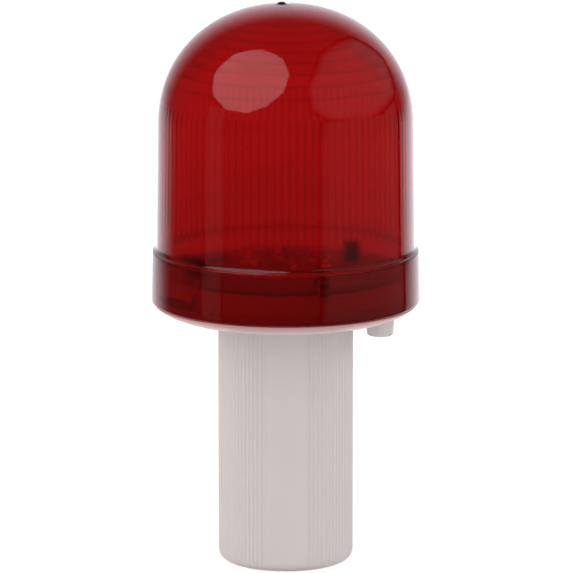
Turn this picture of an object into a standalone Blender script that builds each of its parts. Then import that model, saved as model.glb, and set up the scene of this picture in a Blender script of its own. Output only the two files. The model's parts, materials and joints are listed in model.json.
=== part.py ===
# LED cone lamp: a red lens twist-locked on a white dish, with a ribbed battery tube
# screwed up under the dish. The tube drops into the hole at the top of a traffic cone.
# Metres, +Z up. The origin is the middle of the tube's foot, and -Y is the front.

import math

import bmesh
import bpy
from mathutils import Matrix, Vector

# Gaps between pieces
FIT_GAP = 0.0003
BORE_CLEARANCE = 0.0005
THREAD_CLEARANCE = 0.0003
TWIST_CLEARANCE = 0.0005

# AA cells, two by two
CELL_RADIUS = 0.0071
CELL_LENGTH = 0.0492
CELL_EDGE = 0.0004
CELL_NUB_RADIUS = 0.0027
CELL_NUB_HEIGHT = 0.0013
CELL_SPACE = 0.0006

# Battery carrier and its contacts
CARRIER_PLATE = 0.0015
CARRIER_INSET = 0.0002
COLUMN_WALL = 0.0011
KEY_HALF_WIDTH = 0.0016
KEY_LENGTH = 0.020
BRIDGE_THICKNESS = 0.0004
BRIDGE_WIDTH = 0.0048
TERMINAL_DISC_RADIUS = 0.0052
STUD_RADIUS = 0.0030
STUD_PROUD = 0.0006
CELL_SPRING_HEIGHT = 0.0042
CELL_SPRING_FOOT = 0.0034
CELL_SPRING_TIP = 0.0020
CONTACT_SPRING_HEIGHT = 0.0045
CONTACT_SPRING_FOOT = 0.0029
CONTACT_SPRING_TIP = 0.0020
SPRING_WIRE = 0.0003
SPRING_TURNS = 3

# Battery tube
TUBE_FLOOR = 0.0022
TUBE_WALL = 0.00184
TUBE_CORNER = 0.0034
RIB_COUNT = 90
RIB_DEPTH = 0.00035
RIB_END = 0.0002
TUBE_RIM = 0.0009
STRIPE_ANGLE = math.radians(30.0)
STRIPE_MIDDLE = math.radians(-90.0)

# Round thread between the tube and the dish
THREAD_PITCH = 0.004
THREAD_RADIUS = 0.0007
THREAD_FADE = 0.4
GROOVE_RUN_IN = 0.0008
GROOVE_RUN_OUT = 0.0013
SPIGOT_WALL = 0.0022
SPIGOT_SKIRT = 0.0020
PARTITION = 0.0020
PARTITION_RECESS = 0.0065
SEAT_RECESS = 0.0005
TUBE_SEAL_RADIUS = 0.0005
TUBE_SEAL_GAP = 0.0002

# Push button under the dish
BUTTON_RADIUS = 0.0042
BUTTON_TIP_RADIUS = 0.0039
BUTTON_EDGE = 0.0008
BUTTON_PROUD = 0.0045
BUTTON_TRAVEL = 0.0015
BUTTON_TUBE_SPACE = 0.0048
BUTTON_ANGLE = math.radians(-15.4)
BUTTON_WALL_SPACE = 0.00024
EAR_REACH = 0.0012
EAR_WIDTH = 0.0030
EAR_THICKNESS = 0.0010
STEM_RADIUS = 0.0016
BUTTON_SPRING_RADIUS = 0.0024
BUTTON_SPRING_WIRE = 0.00025
SWITCH_SIDE = 0.0062
SWITCH_HEIGHT = 0.0043
PLUNGER_RADIUS = 0.0015
PLUNGER_SEAT = 0.0020

# Dish
DISH_FLOOR = 0.0022
DISH_FLAT_MARGIN = 0.00775
DISH_DEPTH = 0.0038
RIM_LIP = 0.0004
RIM_INSET = 0.0009
RING_WALL = 0.0014
RING_LIP = 0.0011

# Bayonet between the dish and the lens
LUG_COUNT = 2
LUG_DEPTH = 0.0018
LUG_HEIGHT = 0.0025
LUG_SPAN = math.radians(28.0)
LUG_MIDDLE = math.radians(-150.0)
TAB_DEPTH = 0.0018
TAB_HEIGHT = 0.0018
TAB_SPAN = math.radians(26.0)
STOP_WIDTH = 0.0014
LENS_SEAL_RADIUS = 0.0009

# Lens
SKIRT_WALL = 0.0025
SKIRT_DRAFT = 0.0004
SKIRT_HEIGHT = 0.0155
SKIRT_EDGE = 0.0008
SKIRT_RIB_WIDTH = 0.0030
SKIRT_RIB_HEIGHT = 0.0048
SKIRT_RIB_ANGLE = math.radians(-72.7)
LEDGE_STEP = 0.00125
LEDGE_HEIGHT = 0.0018
LENS_WALL = 0.0022
LENS_DRAFT = 0.00045
LENS_BODY = 0.0383
DOME_HEIGHT = 0.0359
DOME_POWER = 2.1
GATE_RADIUS = 0.0020
GATE_HEIGHT = 0.0006

# Circuit board and what it carries
BOARD_INSET = 0.0008
BOARD_THICKNESS = 0.0016
POST_RADIUS = 0.0030
POST_OVERLAP = 0.0004
POST_COUNT = 3
POST_START = math.radians(49.5)
SCREW_RADIUS = 0.00125
SCREW_HEAD_RADIUS = 0.0022
SCREW_HEAD_TOP = 0.0017
SCREW_HEAD_HEIGHT = 0.0024
SCREW_LENGTH = 0.0080
SCREW_TIP_ROOM = 0.0010
CROSS_LENGTH = 0.0026
CROSS_WIDTH = 0.0008
CROSS_DEPTH = 0.0010
LED_COUNT = 6
LED_RING_RADIUS = 0.0125
LED_START = math.radians(-77.0)
LED_RADIUS = 0.0025
LED_FLANGE = 0.0004
LED_FLANGE_HEIGHT = 0.0010
LED_BODY_HEIGHT = 0.0005
CHIP_SIZE = (0.0062, 0.0050, 0.0017)
CHIP_INSET = 0.0115
CHIP_ANGLE = math.radians(95.0)
CHIP_EDGE = 0.0001
CAPACITOR_RADIUS = 0.0025
CAPACITOR_HEIGHT = 0.0062
CAPACITOR_EDGE = 0.0004
CAPACITOR_INSET = 0.01225
CAPACITOR_ANGLE = math.radians(26.5)
RESISTOR_SIZE = (0.0032, 0.0016, 0.0006)
RESISTOR_INSET = 0.0115
RESISTOR_ANGLES = (math.radians(146.0), math.radians(159.0))
SENSOR_RADIUS = 0.0027
SENSOR_HEIGHT = 0.0056
SENSOR_CROWN = 0.0010
SENSOR_INSET = 0.0044
SENSOR_ANGLE = math.radians(-150.2)

# Leads from the contact springs to the board
LEAD_RADIUS = 0.00065
LEAD_HOLE_RADIUS = 0.0010
LEAD_BOARD_PLACE = (0.004, 0.012)
LEAD_POINTS = 14

# Facets
LARGE_STEPS = 48
SMALL_STEPS = 20
TINY_STEPS = 12
SEAL_STEPS = 36
SEAL_SIDES = 6
ARC_STEPS = 3
DOME_STEPS = 8
THREAD_STEPS = 24
THREAD_SIDES = 2
COIL_STEPS = 8
COIL_SIDES = 1
LEAD_SIDES = 2

# Radii, worked out from the cells outwards
CELL_OFFSET = CELL_RADIUS + CELL_SPACE / 2
PACK_RADIUS = math.sqrt(2) * CELL_OFFSET + CELL_RADIUS
CARRIER_RADIUS = PACK_RADIUS - CARRIER_INSET
BORE_RADIUS = PACK_RADIUS + BORE_CLEARANCE
TUBE_RADIUS = BORE_RADIUS + TUBE_WALL + RIB_DEPTH
SPIGOT_RADIUS = BORE_RADIUS - FIT_GAP
SPIGOT_BORE = SPIGOT_RADIUS - SPIGOT_WALL
TUBE_SEAL_RING = SPIGOT_RADIUS + TUBE_SEAL_GAP + TUBE_SEAL_RADIUS
MOUTH_RADIUS = TUBE_SEAL_RING + TUBE_SEAL_RADIUS + TUBE_SEAL_GAP
SEAT_RADIUS = TUBE_RADIUS + FIT_GAP
BUTTON_PLACE = TUBE_RADIUS + BUTTON_TUBE_SPACE + BUTTON_RADIUS
BUTTON_HOLE = BUTTON_RADIUS + FIT_GAP
RING_INNER = BUTTON_PLACE + BUTTON_HOLE + BUTTON_WALL_SPACE
RING_OUTER = RING_INNER + RING_WALL
LUG_OUTER = RING_OUTER + LUG_DEPTH
SKIRT_INNER = LUG_OUTER + TWIST_CLEARANCE
SKIRT_OUTER = SKIRT_INNER + SKIRT_WALL
SKIRT_TOP_RADIUS = SKIRT_OUTER - SKIRT_DRAFT
TAB_INNER = SKIRT_INNER - TAB_DEPTH
LENS_RADIUS = SKIRT_TOP_RADIUS - LEDGE_STEP
LENS_INNER = LENS_RADIUS - LENS_WALL
DOME_RADIUS = LENS_RADIUS - LENS_DRAFT
LENS_SEAL_RING = (RING_OUTER + SKIRT_INNER) / 2
DISH_RADIUS = SKIRT_OUTER - RIM_INSET
DISH_FLAT = TUBE_RADIUS + DISH_FLAT_MARGIN
BOARD_RADIUS = RING_OUTER - BOARD_INSET
POST_PLACE = RING_INNER - POST_RADIUS + POST_OVERLAP
PILOT_RADIUS = SCREW_RADIUS + FIT_GAP
COLUMN_HOLE = KEY_HALF_WIDTH + FIT_GAP
COLUMN_HALF_WIDTH = COLUMN_HOLE + COLUMN_WALL

# Heights, worked out from the tube's foot upwards
CARRIER_Z = TUBE_FLOOR + FIT_GAP
LOW_CONTACT_Z = CARRIER_Z + CARRIER_PLATE + FIT_GAP
CELL_SEAT_Z = LOW_CONTACT_Z + BRIDGE_THICKNESS + FIT_GAP
CELL_FULL = CELL_LENGTH + CELL_NUB_HEIGHT
SPRING_ROOM = CELL_SPRING_HEIGHT + FIT_GAP
HIGH_CONTACT_Z = CELL_SEAT_Z + CELL_FULL + SPRING_ROOM + FIT_GAP
CARRIER_LID_Z = HIGH_CONTACT_Z + BRIDGE_THICKNESS + FIT_GAP
CARRIER_TOP_Z = CARRIER_LID_Z + CARRIER_PLATE
STUD_TOP_Z = CARRIER_TOP_Z + STUD_PROUD
CONTACT_SPRING_Z = STUD_TOP_Z + FIT_GAP
PARTITION_Z = CONTACT_SPRING_Z + CONTACT_SPRING_HEIGHT + FIT_GAP
PARTITION_TOP_Z = PARTITION_Z + PARTITION
SPIGOT_Z = PARTITION_Z - SPIGOT_SKIRT
DISH_Z = PARTITION_Z + PARTITION_RECESS
SEAT_Z = DISH_Z + SEAT_RECESS
TUBE_LENGTH = SEAT_Z - FIT_GAP
TUBE_SEAL_Z = SEAT_Z - FIT_GAP - TUBE_SEAL_RADIUS
MOUTH_Z = TUBE_SEAL_Z - TUBE_SEAL_RADIUS - FIT_GAP
THREAD_Z = SPIGOT_Z + THREAD_RADIUS + FIT_GAP
THREAD_TOP_Z = MOUTH_Z - FIT_GAP - THREAD_RADIUS
KEY_Z = PARTITION_Z - KEY_LENGTH
DISH_FLOOR_Z = DISH_Z + DISH_FLOOR
RIM_Z = DISH_Z + DISH_DEPTH + RIM_LIP
LENS_SEAL_Z = RIM_Z + FIT_GAP + LENS_SEAL_RADIUS
TAB_Z = LENS_SEAL_Z + LENS_SEAL_RADIUS + TWIST_CLEARANCE
LUG_Z = TAB_Z + TAB_HEIGHT + TWIST_CLEARANCE
RING_TOP_Z = LUG_Z + LUG_HEIGHT + RING_LIP
BOARD_Z = RING_TOP_Z + FIT_GAP
BOARD_TOP_Z = BOARD_Z + BOARD_THICKNESS
MOUNTED_Z = BOARD_TOP_Z + FIT_GAP
SKIRT_Z = RIM_Z + FIT_GAP
SKIRT_RIB_Z = LUG_Z + LUG_HEIGHT + TWIST_CLEARANCE
LEDGE_Z = SKIRT_Z + SKIRT_HEIGHT
SPRINGLINE_Z = LEDGE_Z + LENS_BODY
SWITCH_TOP_Z = BOARD_Z - FIT_GAP
SWITCH_Z = SWITCH_TOP_Z - SWITCH_HEIGHT
PLUNGER_Z = SWITCH_Z - BUTTON_TRAVEL - FIT_GAP
STEM_TOP_Z = PLUNGER_Z - FIT_GAP
EAR_Z = DISH_FLOOR_Z + FIT_GAP
EAR_TOP_Z = EAR_Z + EAR_THICKNESS
CAP_TOP_Z = EAR_TOP_Z + FIT_GAP
BUTTON_Z = DISH_Z - BUTTON_PROUD
BUTTON_XY = (BUTTON_PLACE * math.cos(BUTTON_ANGLE), BUTTON_PLACE * math.sin(BUTTON_ANGLE))

CUT_MARGIN = 0.001
WELD = 0.000001
SHARP_ANGLE = math.radians(40.0)
UPRIGHT = (0.0, 0.0, 0.0)
FLIPPED = (math.pi, 0.0, 0.0)
ON_EDGE = (0.0, 0.0, math.pi / 4)
ACROSS = (0.0, 0.0, math.pi / 2)


# Scene, collections and materials

def clear_scene():
    for item in list(bpy.data.objects):
        bpy.data.objects.remove(item, do_unlink=True)


def new_collection(name):
    group = bpy.data.collections.new(name)
    bpy.context.scene.collection.children.link(group)
    return group


def finish(name, colour, roughness, metallic=0.0):
    material = bpy.data.materials.new(name)
    material.use_nodes = True
    shader = material.node_tree.nodes["Principled BSDF"]
    shader.inputs["Base Color"].default_value = (*colour, 1.0)
    shader.inputs["Roughness"].default_value = roughness
    shader.inputs["Metallic"].default_value = metallic
    material.diffuse_color = (*colour, 1.0)
    return material


clear_scene()
lamp = new_collection("led_cone_lamp")
cutters = new_collection("lamp_cutters")

red_clear = finish("red_clear_plastic", (0.42, 0.006, 0.008), 0.12)
white_plastic = finish("white_plastic", (0.62, 0.57, 0.55), 0.42)
black_plastic = finish("black_plastic", (0.02, 0.02, 0.022), 0.45)
board_tan = finish("board_tan", (0.33, 0.19, 0.08), 0.40)
silicone = finish("pale_silicone", (0.62, 0.60, 0.58), 0.62)
spring_steel = finish("spring_steel", (0.62, 0.62, 0.63), 0.30, 1.0)
contact_plate = finish("nickel_plate", (0.70, 0.68, 0.62), 0.25, 1.0)
screw_steel = finish("screw_steel", (0.13, 0.13, 0.14), 0.38, 1.0)
cell_jacket = finish("cell_jacket", (0.05, 0.09, 0.16), 0.35)
led_epoxy = finish("led_epoxy", (0.55, 0.03, 0.03), 0.10)
capacitor_sleeve = finish("capacitor_sleeve", (0.02, 0.025, 0.05), 0.35)
resistor_black = finish("resistor_black", (0.03, 0.03, 0.032), 0.40)
red_insulation = finish("red_insulation", (0.45, 0.02, 0.02), 0.45)
black_insulation = finish("black_insulation", (0.018, 0.018, 0.02), 0.45)


# Ways of making a shape

def place(item, parent, location, turn):
    item.parent = parent
    item.location = location
    item.rotation_euler = turn


def add_part(name, data, material, parent=None, location=(0.0, 0.0, 0.0), turn=UPRIGHT):
    part = bpy.data.objects.new(name, data)
    data.materials.clear()
    data.materials.append(material)
    lamp.objects.link(part)
    place(part, parent, location, turn)
    return part


def add_cutter(name, data, parent=None, location=(0.0, 0.0, 0.0), turn=UPRIGHT):
    cutter = bpy.data.objects.new(name, data)
    cutter.hide_render = True
    cutter.display_type = "WIRE"
    cutters.objects.link(cutter)
    place(cutter, parent, location, turn)
    return cutter


def add_axis(name, location):
    axis = bpy.data.objects.new(name, None)
    axis.location = location
    lamp.objects.link(axis)
    return axis


def combine(part, other, operation):
    boolean = part.modifiers.new(other.name, "BOOLEAN")
    boolean.operation = operation
    boolean.solver = "EXACT"
    boolean.object = other


def profile(name, outline):
    mesh = bpy.data.meshes.new(name)
    points = [(radius, 0.0, height) for radius, height in outline]
    edges = [(index, index + 1) for index in range(len(points) - 1)]
    mesh.from_pydata(points, edges, [])
    return mesh


def turn_profile(item, steps):
    screw = item.modifiers.new("turn", "SCREW")
    screw.axis = "Z"
    screw.angle = 2 * math.pi
    screw.steps = steps
    screw.render_steps = steps
    screw.use_merge_vertices = True
    screw.merge_threshold = WELD
    bpy.context.view_layer.update()
    turned = bpy.data.meshes.new_from_object(item.evaluated_get(bpy.context.evaluated_depsgraph_get()))
    item.modifiers.clear()
    item.data = turned
    turned.shade_smooth()
    turned.set_sharp_from_angle(angle=SHARP_ANGLE)
    return item


def ellipse(centre, across, up, start, end, steps):
    points = []
    for index in range(steps + 1):
        angle = start + (end - start) * index / steps
        points.append((centre[0] + across * math.cos(angle), centre[1] + up * math.sin(angle)))
    return points


def arc(centre, radius, start, end, steps):
    return ellipse(centre, radius, radius, start, end, steps)


def circle(radius, steps, centre=(0.0, 0.0)):
    return arc(centre, radius, 0.0, 2 * math.pi, steps)[:-1]


def sector(inner, outer, middle, span):
    outside = arc((0.0, 0.0), outer, middle - span / 2, middle + span / 2, ARC_STEPS * 2)
    inside = arc((0.0, 0.0), inner, middle + span / 2, middle - span / 2, ARC_STEPS * 2)
    return outside + inside


def flat_curve(name, outlines, thickness):
    curve = bpy.data.curves.new(name, "CURVE")
    curve.dimensions = "2D"
    curve.fill_mode = "BOTH"
    curve.extrude = thickness / 2
    for outline in outlines:
        spline = curve.splines.new("POLY")
        spline.points.add(len(outline) - 1)
        for point, (x, y) in zip(spline.points, outline):
            point.co = (x, y, 0.0, 1.0)
        spline.use_cyclic_u = True
    return curve


def wire_curve(name, points, radius, resolution, ends=1.0):
    curve = bpy.data.curves.new(name, "CURVE")
    curve.dimensions = "3D"
    curve.bevel_depth = radius
    curve.bevel_resolution = resolution
    curve.use_fill_caps = True
    spline = curve.splines.new("POLY")
    spline.points.add(len(points) - 1)
    for point, place_of_point in zip(spline.points, points):
        point.co = (*place_of_point, 1.0)
    spline.points[0].radius = ends
    spline.points[-1].radius = ends
    return curve


def curve_mesh(curve):
    holder = bpy.data.objects.new(curve.name, curve)
    cutters.objects.link(holder)
    bpy.context.view_layer.update()
    evaluated = holder.evaluated_get(bpy.context.evaluated_depsgraph_get())
    mesh = bpy.data.meshes.new_from_object(evaluated)
    bpy.data.objects.remove(holder, do_unlink=True)
    welded = bmesh.new()
    welded.from_mesh(mesh)
    bmesh.ops.remove_doubles(welded, verts=welded.verts, dist=WELD)
    bmesh.ops.recalc_face_normals(welded, faces=welded.faces)
    welded.to_mesh(mesh)
    welded.free()
    return mesh


def block(name, size):
    mesh = bpy.data.meshes.new(name)
    body = bmesh.new()
    bmesh.ops.create_cube(body, size=1.0, matrix=Matrix.Diagonal((*size, 1.0)))
    body.to_mesh(mesh)
    body.free()
    return mesh


def drum(name, radius, height, steps):
    mesh = bpy.data.meshes.new(name)
    body = bmesh.new()
    bmesh.ops.create_cone(body, cap_ends=True, segments=steps, radius1=radius, radius2=radius, depth=height)
    body.to_mesh(mesh)
    body.free()
    return mesh


def slab(name, outline, bottom, top):
    return add_cutter(name, curve_mesh(flat_curve(name, [outline], top - bottom)),
                      location=(0.0, 0.0, (bottom + top) / 2))


def helix(radius, bottom, top):
    turns = (top - bottom) / THREAD_PITCH
    steps = round(turns * THREAD_STEPS)
    points = []
    for index in range(steps + 1):
        angle = 2 * math.pi * (turns * index / steps + (bottom - THREAD_Z) / THREAD_PITCH)
        height = bottom + (top - bottom) * index / steps
        points.append((radius * math.cos(angle), radius * math.sin(angle), height))
    return points


def coil_points(foot, tip, height, turns):
    points = []
    steps = turns * COIL_STEPS
    for index in range(steps + 1):
        share = index / steps
        angle = 2 * math.pi * turns * share
        radius = foot + (tip - foot) * share
        points.append((radius * math.cos(angle), radius * math.sin(angle), height * share))
    return points


def least_gap(points, wire):
    gap = math.inf
    for first in range(len(points)):
        for second in range(first + COIL_STEPS * 3 // 4, len(points)):
            gap = min(gap, (Vector(points[first]) - Vector(points[second])).length - 2 * wire)
    return gap


def add_spring(name, foot, tip, height, wire, parent, location, flipped=False):
    points = coil_points(foot, tip, height - 2 * wire, SPRING_TURNS)
    print(name, "least gap between turns, mm:", round(least_gap(points, wire) * 1000, 3))
    lift = height - wire if flipped else wire
    turn = FLIPPED if flipped else UPRIGHT
    middle = (location[0], location[1], location[2] + lift)
    return add_part(name, wire_curve(name, points, wire, COIL_SIDES), spring_steel, parent, middle, turn)


def add_ring(name, ring, section, height, material):
    outline = arc((ring, height), section, math.pi / 2, -3 * math.pi / 2, SEAL_SIDES)
    turn_profile(add_part(name, profile(name, outline), material), SEAL_STEPS)


# Battery tube with its ribs, smooth stripe and round thread

def make_tube(parent):
    corner = arc((TUBE_RADIUS - TUBE_CORNER, TUBE_CORNER), TUBE_CORNER, 0.0, -math.pi / 2, ARC_STEPS)
    rib_top = TUBE_LENGTH - TUBE_RIM - RIB_END
    outline = [(0.0, TUBE_LENGTH), (TUBE_RADIUS, TUBE_LENGTH), (TUBE_RADIUS, TUBE_LENGTH - TUBE_RIM)]
    outline += [(TUBE_RADIUS, rib_top)] + corner + [(0.0, 0.0)]
    tube = turn_profile(add_part("battery_tube", profile("battery_tube", outline), white_plastic, parent),
                        RIB_COUNT * 2)
    cut_ribs(tube, rib_top)
    bore_top = TUBE_LENGTH + CUT_MARGIN
    bore = [(0.0, bore_top), (MOUTH_RADIUS, bore_top), (MOUTH_RADIUS, MOUTH_Z)]
    bore += [(BORE_RADIUS, MOUTH_Z), (BORE_RADIUS, TUBE_FLOOR), (0.0, TUBE_FLOOR)]
    bore_cutter = turn_profile(add_cutter("tube_bore", profile("tube_bore", bore)), LARGE_STEPS)
    combine(tube, bore_cutter, "DIFFERENCE")
    groove = helix(SPIGOT_RADIUS, THREAD_Z - GROOVE_RUN_IN, TUBE_LENGTH + GROOVE_RUN_OUT)
    groove_curve = wire_curve("thread_groove", groove, THREAD_RADIUS + THREAD_CLEARANCE, THREAD_SIDES)
    combine(tube, add_cutter("thread_groove", curve_mesh(groove_curve)), "DIFFERENCE")


def cut_ribs(tube, rib_top):
    step = math.pi / RIB_COUNT
    for vertex in tube.data.vertices:
        angle = math.atan2(vertex.co.y, vertex.co.x)
        from_stripe = math.remainder(angle - STRIPE_MIDDLE, 2 * math.pi)
        on_wall = math.hypot(vertex.co.x, vertex.co.y) > TUBE_RADIUS - RIB_DEPTH / 2
        ribbed = on_wall and vertex.co.z < rib_top + WELD and abs(from_stripe) > STRIPE_ANGLE / 2
        if ribbed and round(angle / step) % 2:
            vertex.co.x *= 1 - RIB_DEPTH / TUBE_RADIUS
            vertex.co.y *= 1 - RIB_DEPTH / TUBE_RADIUS


# Dish with its spigot, key post, ring wall, lugs, stops and screw posts

def dish_outline():
    run = DISH_RADIUS - DISH_FLAT
    sweep = (run * run + DISH_DEPTH * DISH_DEPTH) / (2 * DISH_DEPTH)
    reach = math.asin(run / sweep)
    bowl = arc((DISH_FLAT, DISH_Z + sweep), sweep, reach - math.pi / 2, -math.pi / 2, ARC_STEPS * 2)
    inside = [(0.0, PARTITION_TOP_Z), (SPIGOT_BORE, PARTITION_TOP_Z), (SPIGOT_BORE, DISH_FLOOR_Z)]
    wall = [(RING_INNER, DISH_FLOOR_Z), (RING_INNER, RING_TOP_Z)]
    wall += [(RING_OUTER, RING_TOP_Z), (RING_OUTER, RIM_Z)]
    rim = [(DISH_RADIUS, RIM_Z)]
    seat = [(SEAT_RADIUS, DISH_Z), (SEAT_RADIUS, SEAT_Z), (SPIGOT_RADIUS, SEAT_Z)]
    spigot = [(SPIGOT_RADIUS, SPIGOT_Z), (SPIGOT_BORE, SPIGOT_Z)]
    underside = [(SPIGOT_BORE, PARTITION_Z), (0.0, PARTITION_Z)]
    return inside + wall + rim + bowl + seat + spigot + underside


def make_dish():
    dish = add_part("base_housing", profile("base_housing", dish_outline()), white_plastic)
    turn_profile(dish, LARGE_STEPS)
    add_bayonet_lugs(dish)
    add_screw_posts(dish)
    key = block("key_post", (KEY_HALF_WIDTH * 2, KEY_HALF_WIDTH * 2, KEY_LENGTH + PARTITION / 2))
    key_middle = (0.0, 0.0, KEY_Z + (KEY_LENGTH + PARTITION / 2) / 2)
    combine(dish, add_cutter("key_post", key, location=key_middle, turn=ON_EDGE), "UNION")
    ridge_line = helix(SPIGOT_RADIUS, THREAD_Z, THREAD_TOP_Z)
    ridge = wire_curve("thread_ridge", ridge_line, THREAD_RADIUS, THREAD_SIDES, THREAD_FADE)
    combine(dish, add_cutter("thread_ridge", curve_mesh(ridge)), "UNION")
    hole_height = DISH_FLOOR_Z - DISH_Z + 2 * CUT_MARGIN
    hole = drum("button_hole", BUTTON_HOLE, hole_height, SMALL_STEPS)
    hole_middle = (*BUTTON_XY, (DISH_Z + DISH_FLOOR_Z) / 2)
    combine(dish, add_cutter("button_hole", hole, location=hole_middle), "DIFFERENCE")
    for side in (1, -1):
        name = "lead_hole_front" if side < 0 else "lead_hole_rear"
        bore = drum(name, LEAD_HOLE_RADIUS, PARTITION + 2 * CUT_MARGIN, TINY_STEPS)
        middle = (CELL_OFFSET, side * CELL_OFFSET, (PARTITION_Z + PARTITION_TOP_Z) / 2)
        combine(dish, add_cutter(name, bore, location=middle), "DIFFERENCE")


def add_bayonet_lugs(dish):
    root = RING_OUTER - RING_WALL / 2
    stop_span = STOP_WIDTH / RING_OUTER
    stop_offset = (TAB_SPAN + stop_span) / 2 + TWIST_CLEARANCE / RING_OUTER
    for index in range(LUG_COUNT):
        middle = LUG_MIDDLE + 2 * math.pi * index / LUG_COUNT
        lug = slab(f"lug_{index + 1}", sector(root, LUG_OUTER, middle, LUG_SPAN), LUG_Z, LUG_Z + LUG_HEIGHT)
        combine(dish, lug, "UNION")
        stop = sector(root, LUG_OUTER, middle - stop_offset, stop_span)
        combine(dish, slab(f"stop_{index + 1}", stop, TAB_Z, LUG_Z + LUG_HEIGHT), "UNION")


def post_places():
    angles = [POST_START + 2 * math.pi * index / POST_COUNT for index in range(POST_COUNT)]
    return [(POST_PLACE * math.cos(angle), POST_PLACE * math.sin(angle)) for angle in angles]


def add_screw_posts(dish):
    foot = DISH_FLOOR_Z - DISH_FLOOR / 2
    pilot_z = MOUNTED_Z - SCREW_LENGTH - SCREW_TIP_ROOM
    for index, spot in enumerate(post_places()):
        post = drum(f"post_{index + 1}", POST_RADIUS, RING_TOP_Z - foot, SMALL_STEPS)
        post_middle = (*spot, (RING_TOP_Z + foot) / 2)
        combine(dish, add_cutter(f"post_{index + 1}", post, location=post_middle), "UNION")
        pilot = drum(f"pilot_{index + 1}", PILOT_RADIUS, RING_TOP_Z + CUT_MARGIN - pilot_z, TINY_STEPS)
        middle = (*spot, (RING_TOP_Z + CUT_MARGIN + pilot_z) / 2)
        combine(dish, add_cutter(f"pilot_{index + 1}", pilot, location=middle), "DIFFERENCE")


# Lens with its skirt, ledge, dome, bayonet tabs and one short rib inside the skirt

def dome_rise(radius, height, run):
    return height * (1 - (run / radius) ** DOME_POWER) ** (1 / DOME_POWER)


def dome_outline(radius, height, least_radius):
    points = []
    for index in range(DOME_STEPS + 1):
        angle = math.pi / 2 * (1 - index / DOME_STEPS)
        run = radius * max(math.cos(angle), 0.0) ** (2 / DOME_POWER)
        rise = height * math.sin(angle) ** (2 / DOME_POWER)
        if run > least_radius:
            points.append((run, SPRINGLINE_Z + rise))
    return points


def lens_outline():
    gate_top = SPRINGLINE_Z + DOME_HEIGHT + GATE_HEIGHT
    gate_foot = SPRINGLINE_Z + dome_rise(DOME_RADIUS, DOME_HEIGHT, GATE_RADIUS)
    gate = [(0.0, gate_top), (GATE_RADIUS, gate_top), (GATE_RADIUS, gate_foot)]
    flare = (SKIRT_TOP_RADIUS, LEDGE_Z + LEDGE_HEIGHT)
    ledge = ellipse(flare, LEDGE_STEP, LEDGE_HEIGHT, math.pi, 1.5 * math.pi, ARC_STEPS)
    edge = arc((SKIRT_OUTER - SKIRT_EDGE, SKIRT_Z + SKIRT_EDGE), SKIRT_EDGE, 0.0, -math.pi / 2, ARC_STEPS)
    step = LENS_WALL / 2
    inside = [(SKIRT_INNER, SKIRT_Z), (SKIRT_INNER, LEDGE_Z - step), (LENS_INNER, LEDGE_Z + step)]
    inner_dome = dome_outline(DOME_RADIUS - LENS_WALL, DOME_HEIGHT - LENS_WALL, 0.0)
    crown = [(0.0, SPRINGLINE_Z + DOME_HEIGHT - LENS_WALL)]
    dome = dome_outline(DOME_RADIUS, DOME_HEIGHT, GATE_RADIUS)
    return gate + dome + ledge + edge + inside + inner_dome[::-1] + crown


def make_lens(parent):
    lens = add_part("lens_dome", profile("lens_dome", lens_outline()), red_clear, parent)
    turn_profile(lens, LARGE_STEPS)
    root = SKIRT_INNER + SKIRT_WALL / 2
    for index in range(LUG_COUNT):
        middle = LUG_MIDDLE + 2 * math.pi * index / LUG_COUNT
        tab = slab(f"tab_{index + 1}", sector(TAB_INNER, root, middle, TAB_SPAN), TAB_Z, TAB_Z + TAB_HEIGHT)
        combine(lens, tab, "UNION")
    rib = sector(TAB_INNER, root, SKIRT_RIB_ANGLE, SKIRT_RIB_WIDTH / SKIRT_INNER)
    combine(lens, slab("skirt_rib", rib, SKIRT_RIB_Z, SKIRT_RIB_Z + SKIRT_RIB_HEIGHT), "UNION")


# Push button, its spring and the switch

def make_button(axis):
    round_middle = (BUTTON_TIP_RADIUS - BUTTON_EDGE, BUTTON_Z + BUTTON_EDGE)
    edge = arc(round_middle, BUTTON_EDGE, 0.0, -math.pi / 2, ARC_STEPS)
    cap = [(0.0, STEM_TOP_Z), (STEM_RADIUS, STEM_TOP_Z), (STEM_RADIUS, CAP_TOP_Z)]
    cap += [(BUTTON_RADIUS, CAP_TOP_Z), (BUTTON_RADIUS, DISH_Z)] + edge + [(0.0, BUTTON_Z)]
    outline = [(radius, height - BUTTON_Z) for radius, height in cap]
    button = add_part("button_cap", profile("button_cap", outline), white_plastic, axis)
    turn_profile(button, SMALL_STEPS)
    ears = block("button_ears", (EAR_WIDTH, 2 * (BUTTON_HOLE + EAR_REACH), EAR_THICKNESS))
    ear_middle = (0.0, 0.0, (EAR_Z + EAR_TOP_Z) / 2 - BUTTON_Z)
    combine(button, add_cutter("button_ears", ears, axis, ear_middle, (0.0, 0.0, BUTTON_ANGLE)), "UNION")
    plunger_height = SWITCH_Z + PLUNGER_SEAT - PLUNGER_Z
    plunger = drum("switch_plunger", PLUNGER_RADIUS, plunger_height, TINY_STEPS)
    plunger_middle = (0.0, 0.0, PLUNGER_Z + plunger_height / 2 - BUTTON_Z)
    add_part("switch_plunger", plunger, black_plastic, axis, plunger_middle)
    spring_height = SWITCH_Z - CAP_TOP_Z - 2 * FIT_GAP
    spring_foot = (0.0, 0.0, CAP_TOP_Z + FIT_GAP - BUTTON_Z)
    add_spring("button_spring", BUTTON_SPRING_RADIUS, BUTTON_SPRING_RADIUS, spring_height,
               BUTTON_SPRING_WIRE, axis, spring_foot)


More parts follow.
